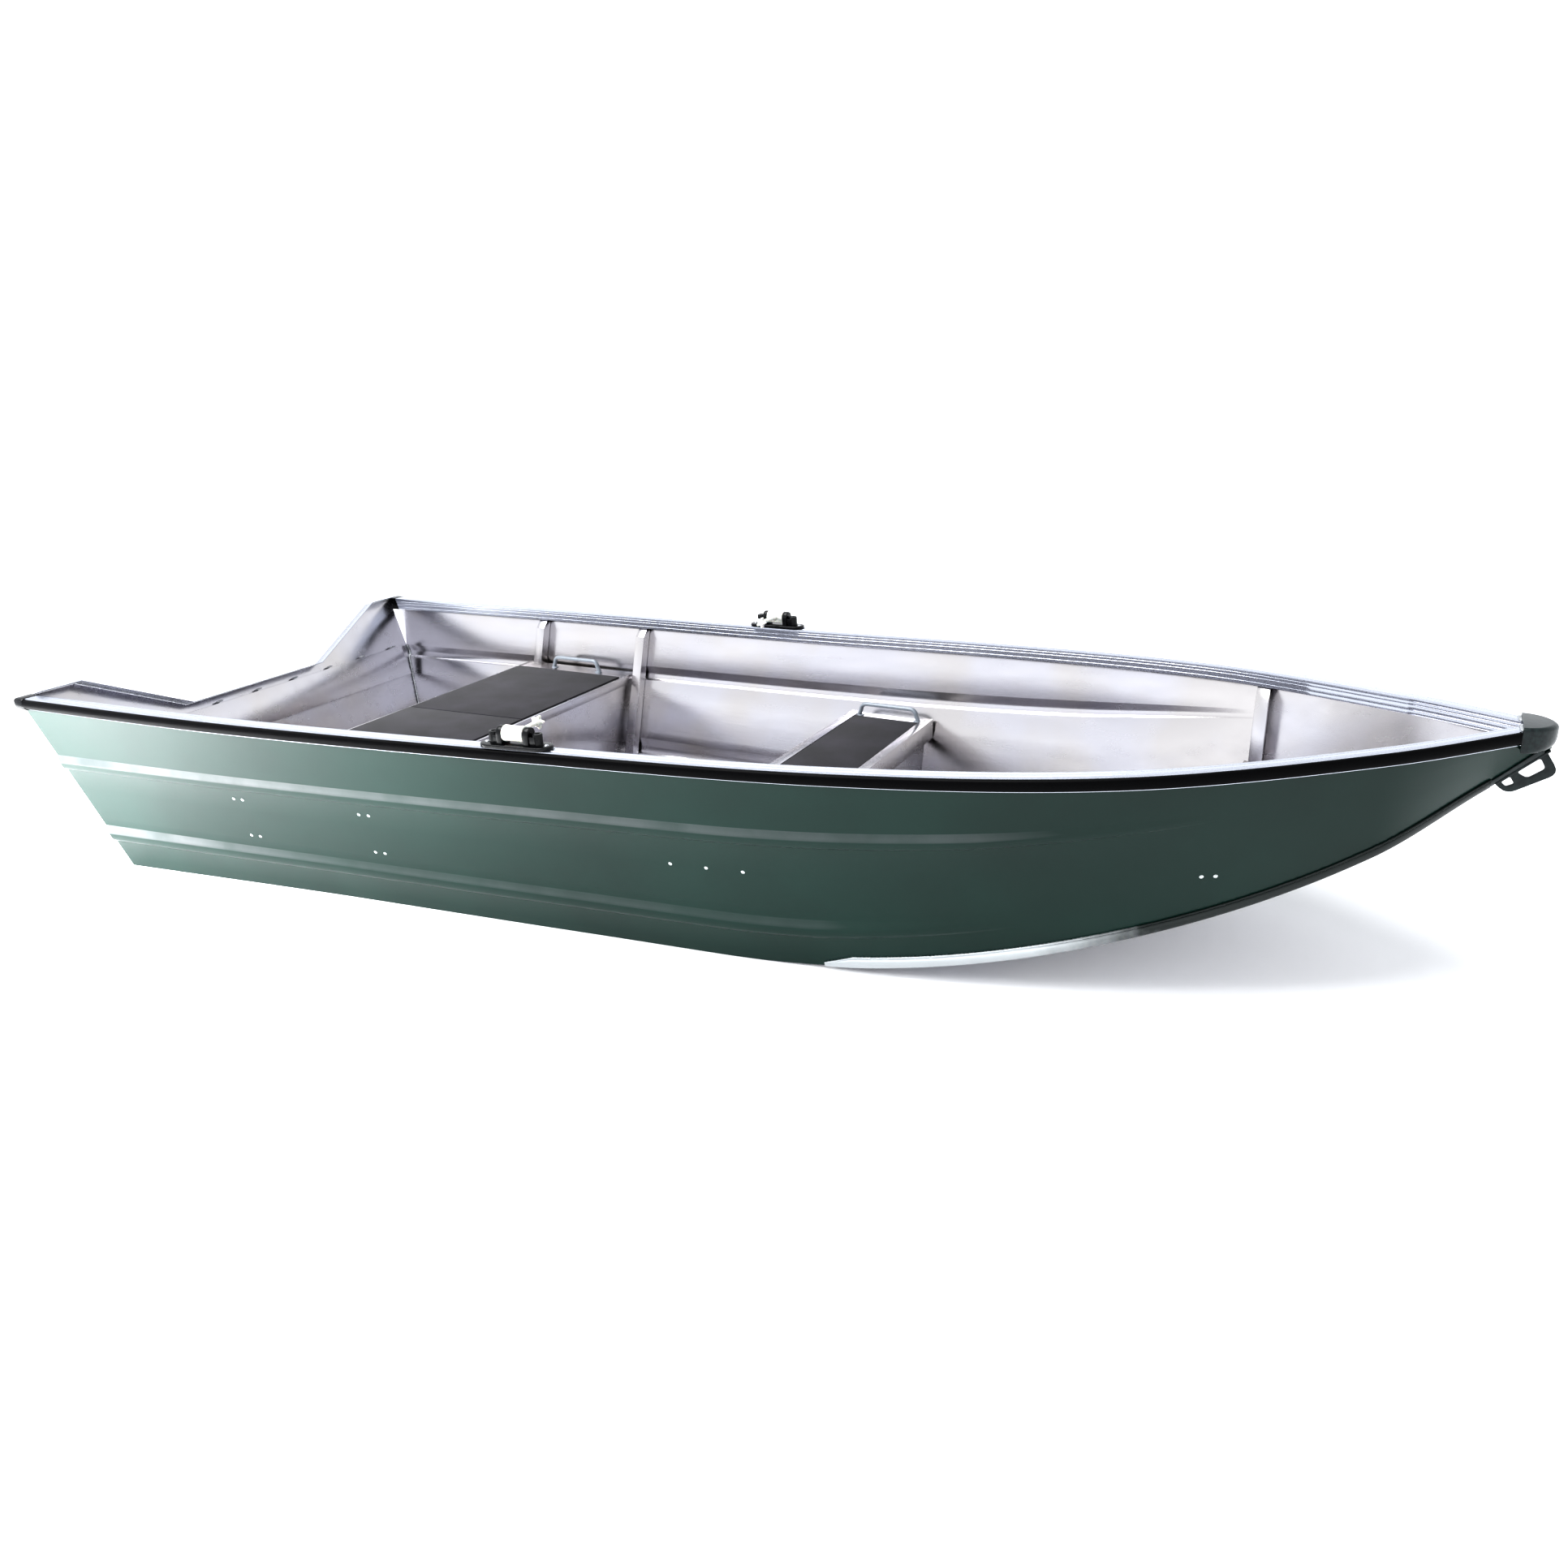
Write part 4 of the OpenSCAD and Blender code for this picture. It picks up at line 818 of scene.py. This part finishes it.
def oarBase():
    shape = newShape()
    half, r, g = oar["baseLength"] / 2, oar["baseWidth"] / 2, oar["gap"]
    plate = []
    for end, start in ((1, -90), (-1, 90)):
        plate += [(end * (half - r) + r * math.cos(math.radians(start + a)), r * math.sin(math.radians(start + a)))
                  for a in range(0, 181, 15)]
    addPrism(shape, plate, g, g + oar["baseThick"], 0.0025, onGunwale, softLow=0.0006)
    for end in (-1, 1):
        middle = end * (oar["swivelLength"] / 2 + g + oar["cheekThick"] / 2)
        cheek = [(-oar["cheekR"], 0.004), (oar["cheekR"], 0.004)]
        cheek += [(oar["cheekR"] * math.cos(math.radians(a)), oar["swivelZ"] + oar["cheekR"] * math.sin(math.radians(a)))
                  for a in range(0, 181, 15)]
        # the cheek's outline lies across the gunwale, its thickness along it
        upright = Matrix(((0, 0, 1, middle), (1, 0, 0, 0), (0, 1, 0, 0), (0, 0, 0, 1)))
        addPrism(shape, cheek, -oar["cheekThick"] / 2, oar["cheekThick"] / 2, 0.0022, onGunwale @ upright)
        boss = Matrix.Translation((end * (oar["swivelLength"] / 2 + oar["cheekThick"] + 0.015), 0, 0))
        top = oar["swivelZ"] + 0.004
        addLathe(shape, [(0.0125, 0.004), (0.0122, top - 0.002), (0.0112, top), (0.0068, top), (0.0060, top - 0.001),
                         (0.0058, top - 0.012), (0.002, top - 0.012)], onGunwale @ boss, 32)
        for across in (-1, 1):
            rib = Matrix.Translation((end * (oar["swivelLength"] / 2 + oar["cheekThick"] + 0.004), across * 0.0105, 0))
            addPrism(shape, [(-0.007, -0.003), (0.012, -0.003), (0.012, 0.003), (-0.007, 0.003)], 0.004, 0.030, 0.001,
                     onGunwale @ rib, 2)
    return shape


def oarSwivel():
    shape = newShape()
    alongX = Matrix.Translation((0, 0, oar["swivelZ"])) @ Matrix.Rotation(math.pi / 2, 4, "Y")
    l, r = oar["swivelLength"] / 2, oar["swivelR"]
    addLathe(shape, [(0.003, -l), (r - 0.002, -l), (r - 0.0006, -l + 0.0006), (r, -l + 0.002), (r, -l + 0.010),
                     (r - 0.0008, -l + 0.011), (r - 0.0008, l - 0.011), (r, l - 0.010), (r, l - 0.002),
                     (r - 0.0006, l - 0.0006), (r - 0.002, l), (0.003, l)], onGunwale @ alongX, 40)
    addLathe(shape, [(0.001, -l - 0.015), (oar["axleR"] - 0.001, -l - 0.015), (oar["axleR"], -l - 0.014),
                     (oar["axleR"], l + 0.014), (oar["axleR"] - 0.001, l + 0.015), (0.001, l + 0.015)],
             onGunwale @ alongX, 24)
    inboard = Matrix.Translation((0, 0, oar["swivelZ"])) @ Matrix.Rotation(math.pi / 2, 4, "X")
    p = oar["pinR"]
    addLathe(shape, [(0.001, 0), (p + 0.003, 0.002), (p + 0.003, r + 0.002), (p + 0.0015, r + 0.005), (p, r + 0.007),
                     (p, oar["pinLength"] - 0.001), (p - 0.001, oar["pinLength"]), (0.001, oar["pinLength"])],
             onGunwale @ inboard, 24)
    return shape


def starKnob():
    shape = newShape()
    place = onGunwale @ Matrix.Translation((0, -oar["pinLength"] - 0.004, oar["swivelZ"])) @ Matrix.Rotation(-math.pi / 2, 4, "X")
    star = []
    for k in range(80):
        a = 2 * math.pi * k / 80
        star.append(((oar["knobR"] - 0.0042 + 0.0040 * math.cos(5 * a)) * math.cos(a),
                     (oar["knobR"] - 0.0042 + 0.0040 * math.cos(5 * a)) * math.sin(a)))
    addPrism(shape, star, 0.0, 0.011, 0.0022, place, 4)
    hub = oar["knobR"] * 0.62
    addLathe(shape, [(0.001, -0.0006), (hub * 0.8, -0.0006), (hub, 0.002), (hub, 0.012), (hub * 0.86, oar["knobThick"] - 0.001),
                     (hub * 0.8, oar["knobThick"]), (oar["pinR"] + 0.0004, oar["knobThick"])], place, 32)
    return shape


for side, mirror in (("port", False), ("starboard", True)):
    finishPiece(oarBase(), side + "OarBase", "hull", [finishes["black_plastic"]],
                [side + "_oar_base"], mirror, 38)
    finishPiece(oarSwivel(), side + "OarSwivel", side + "_swivel", [finishes["white_nylon"]],
                [side + "_oar_swivel"], mirror, 38)
    finishPiece(starKnob(), side + "StarKnob", side + "_knob", [finishes["white_nylon"]],
                [side + "_star_knob"], mirror, 38)
print("oar pins done")


# ---- floor, light and camera ----

studio = {
    "floor": "#F1F2F3", "floorHalf": 120.0, "horizon": 1.1, "zenith": 0.75, "fall": (0.3, 0.8),
    "camera": (1.5818, -2.8956, 1.3773), "yaw": -26.9, "pitch": 19.014, "roll": -2.169, "lens": 29.869,
}
floorMaterial, tree, shader, where = newFinish("paintedStudioFloor", {"Roughness": 0.9, "Specular IOR Level": 0.2})
faint = addNode(tree, "ShaderNodeTexNoise", {"Scale": 0.6, "Detail": 2}, {"Vector": where})
tone = addNode(tree, "ShaderNodeValToRGB", links={"Fac": faint.outputs[0]})
setRamp(tone, [(0.3, studio["floor"]), (0.7, "#F4F5F6")])
tree.links.new(tone.outputs[0], shader.inputs["Base Color"])
reach = studio["floorHalf"]
floorMesh = bpy.data.meshes.new("studioFloor")
floorMesh.from_pydata([(-reach, -reach, -0.0004), (reach, -reach, -0.0004), (reach, reach, -0.0004),
                       (-reach, reach, -0.0004)], [], [(0, 1, 2, 3)])
floorMesh.materials.append(floorMaterial)
floor = bpy.data.objects.new("studioFloor", floorMesh)
bpy.context.scene.collection.objects.link(floor)

# white walls that darken towards the ceiling
world = bpy.data.worlds.new("studioWorld")
bpy.context.scene.world = world
world.use_nodes = True
tree = world.node_tree
tree.nodes.clear()
compass = addNode(tree, "ShaderNodeTexCoord").outputs["Generated"]
height = addNode(tree, "ShaderNodeSeparateXYZ", links={"Vector": compass}).outputs["Z"]
dim = addNode(tree, "ShaderNodeMapRange", {"From Min": studio["fall"][0], "From Max": studio["fall"][1],
                                           "To Min": studio["horizon"], "To Max": studio["zenith"]}, {"Value": height})
sky = addNode(tree, "ShaderNodeBackground", {"Color": linearColour("#F6F8FB")}, {"Strength": dim.outputs[0]})
addNode(tree, "ShaderNodeOutputWorld", links={"Surface": sky.outputs[0]})

lights = {
    "ceilingDiffuser": {"kind": "SUN", "place": (-0.9, -0.5, 3.0), "aim": (0, 0, 0), "spread": 45, "power": 2.2},
    "wallPanel": {"kind": "AREA", "place": (-5.8, -5.0, 1.5), "aim": (-0.8, -0.7, 0.5), "size": (6.4, 2.7),
                  "power": 9},
    "sternSoftbox": {"kind": "AREA", "place": (-2.4, -1.95, 1.0), "aim": (-1.85, -1.0, 0.0), "size": (1.3, 0.6),
                     "power": 150, "mirrored": False},
}
for name, light in lights.items():
    lamp = bpy.data.lights.new(name, light["kind"])
    lamp.energy = light["power"]
    if light["kind"] == "AREA":
        lamp.shape = "RECTANGLE"
        lamp.size, lamp.size_y = light["size"]
    else:
        lamp.angle = math.radians(light["spread"])
    holder = bpy.data.objects.new(name, lamp)
    bpy.context.scene.collection.objects.link(holder)
    holder.location = light["place"]
    holder.visible_camera = False
    holder.visible_glossy = light.get("mirrored", True)
    holder.rotation_euler = (Vector(light["aim"]) - Vector(light["place"])).to_track_quat("-Z", "Y").to_euler()

yaw, pitch, roll = (math.radians(studio[key]) for key in ("yaw", "pitch", "roll"))
ahead = Vector((math.sin(yaw) * math.cos(pitch), math.cos(yaw) * math.cos(pitch), -math.sin(pitch)))
right = ahead.cross(Vector((0, 0, 1))).normalized()
upward = right.cross(ahead)
across = right * math.cos(roll) + upward * math.sin(roll)
over = upward * math.cos(roll) - right * math.sin(roll)
lensData = bpy.data.cameras.new("studioCamera")
lensData.lens = studio["lens"]
lensData.sensor_width = 36.0
lensData.clip_end = 200.0
camera = bpy.data.objects.new("studioCamera", lensData)
bpy.context.scene.collection.objects.link(camera)
camera.matrix_world = Matrix.Translation(studio["camera"]) @ Matrix((across, over, -ahead)).transposed().to_4x4()
bpy.context.scene.camera = camera
bpy.context.scene.view_settings.view_transform = "Standard"
bpy.context.scene.view_settings.look = "High Contrast"
print("studio done")
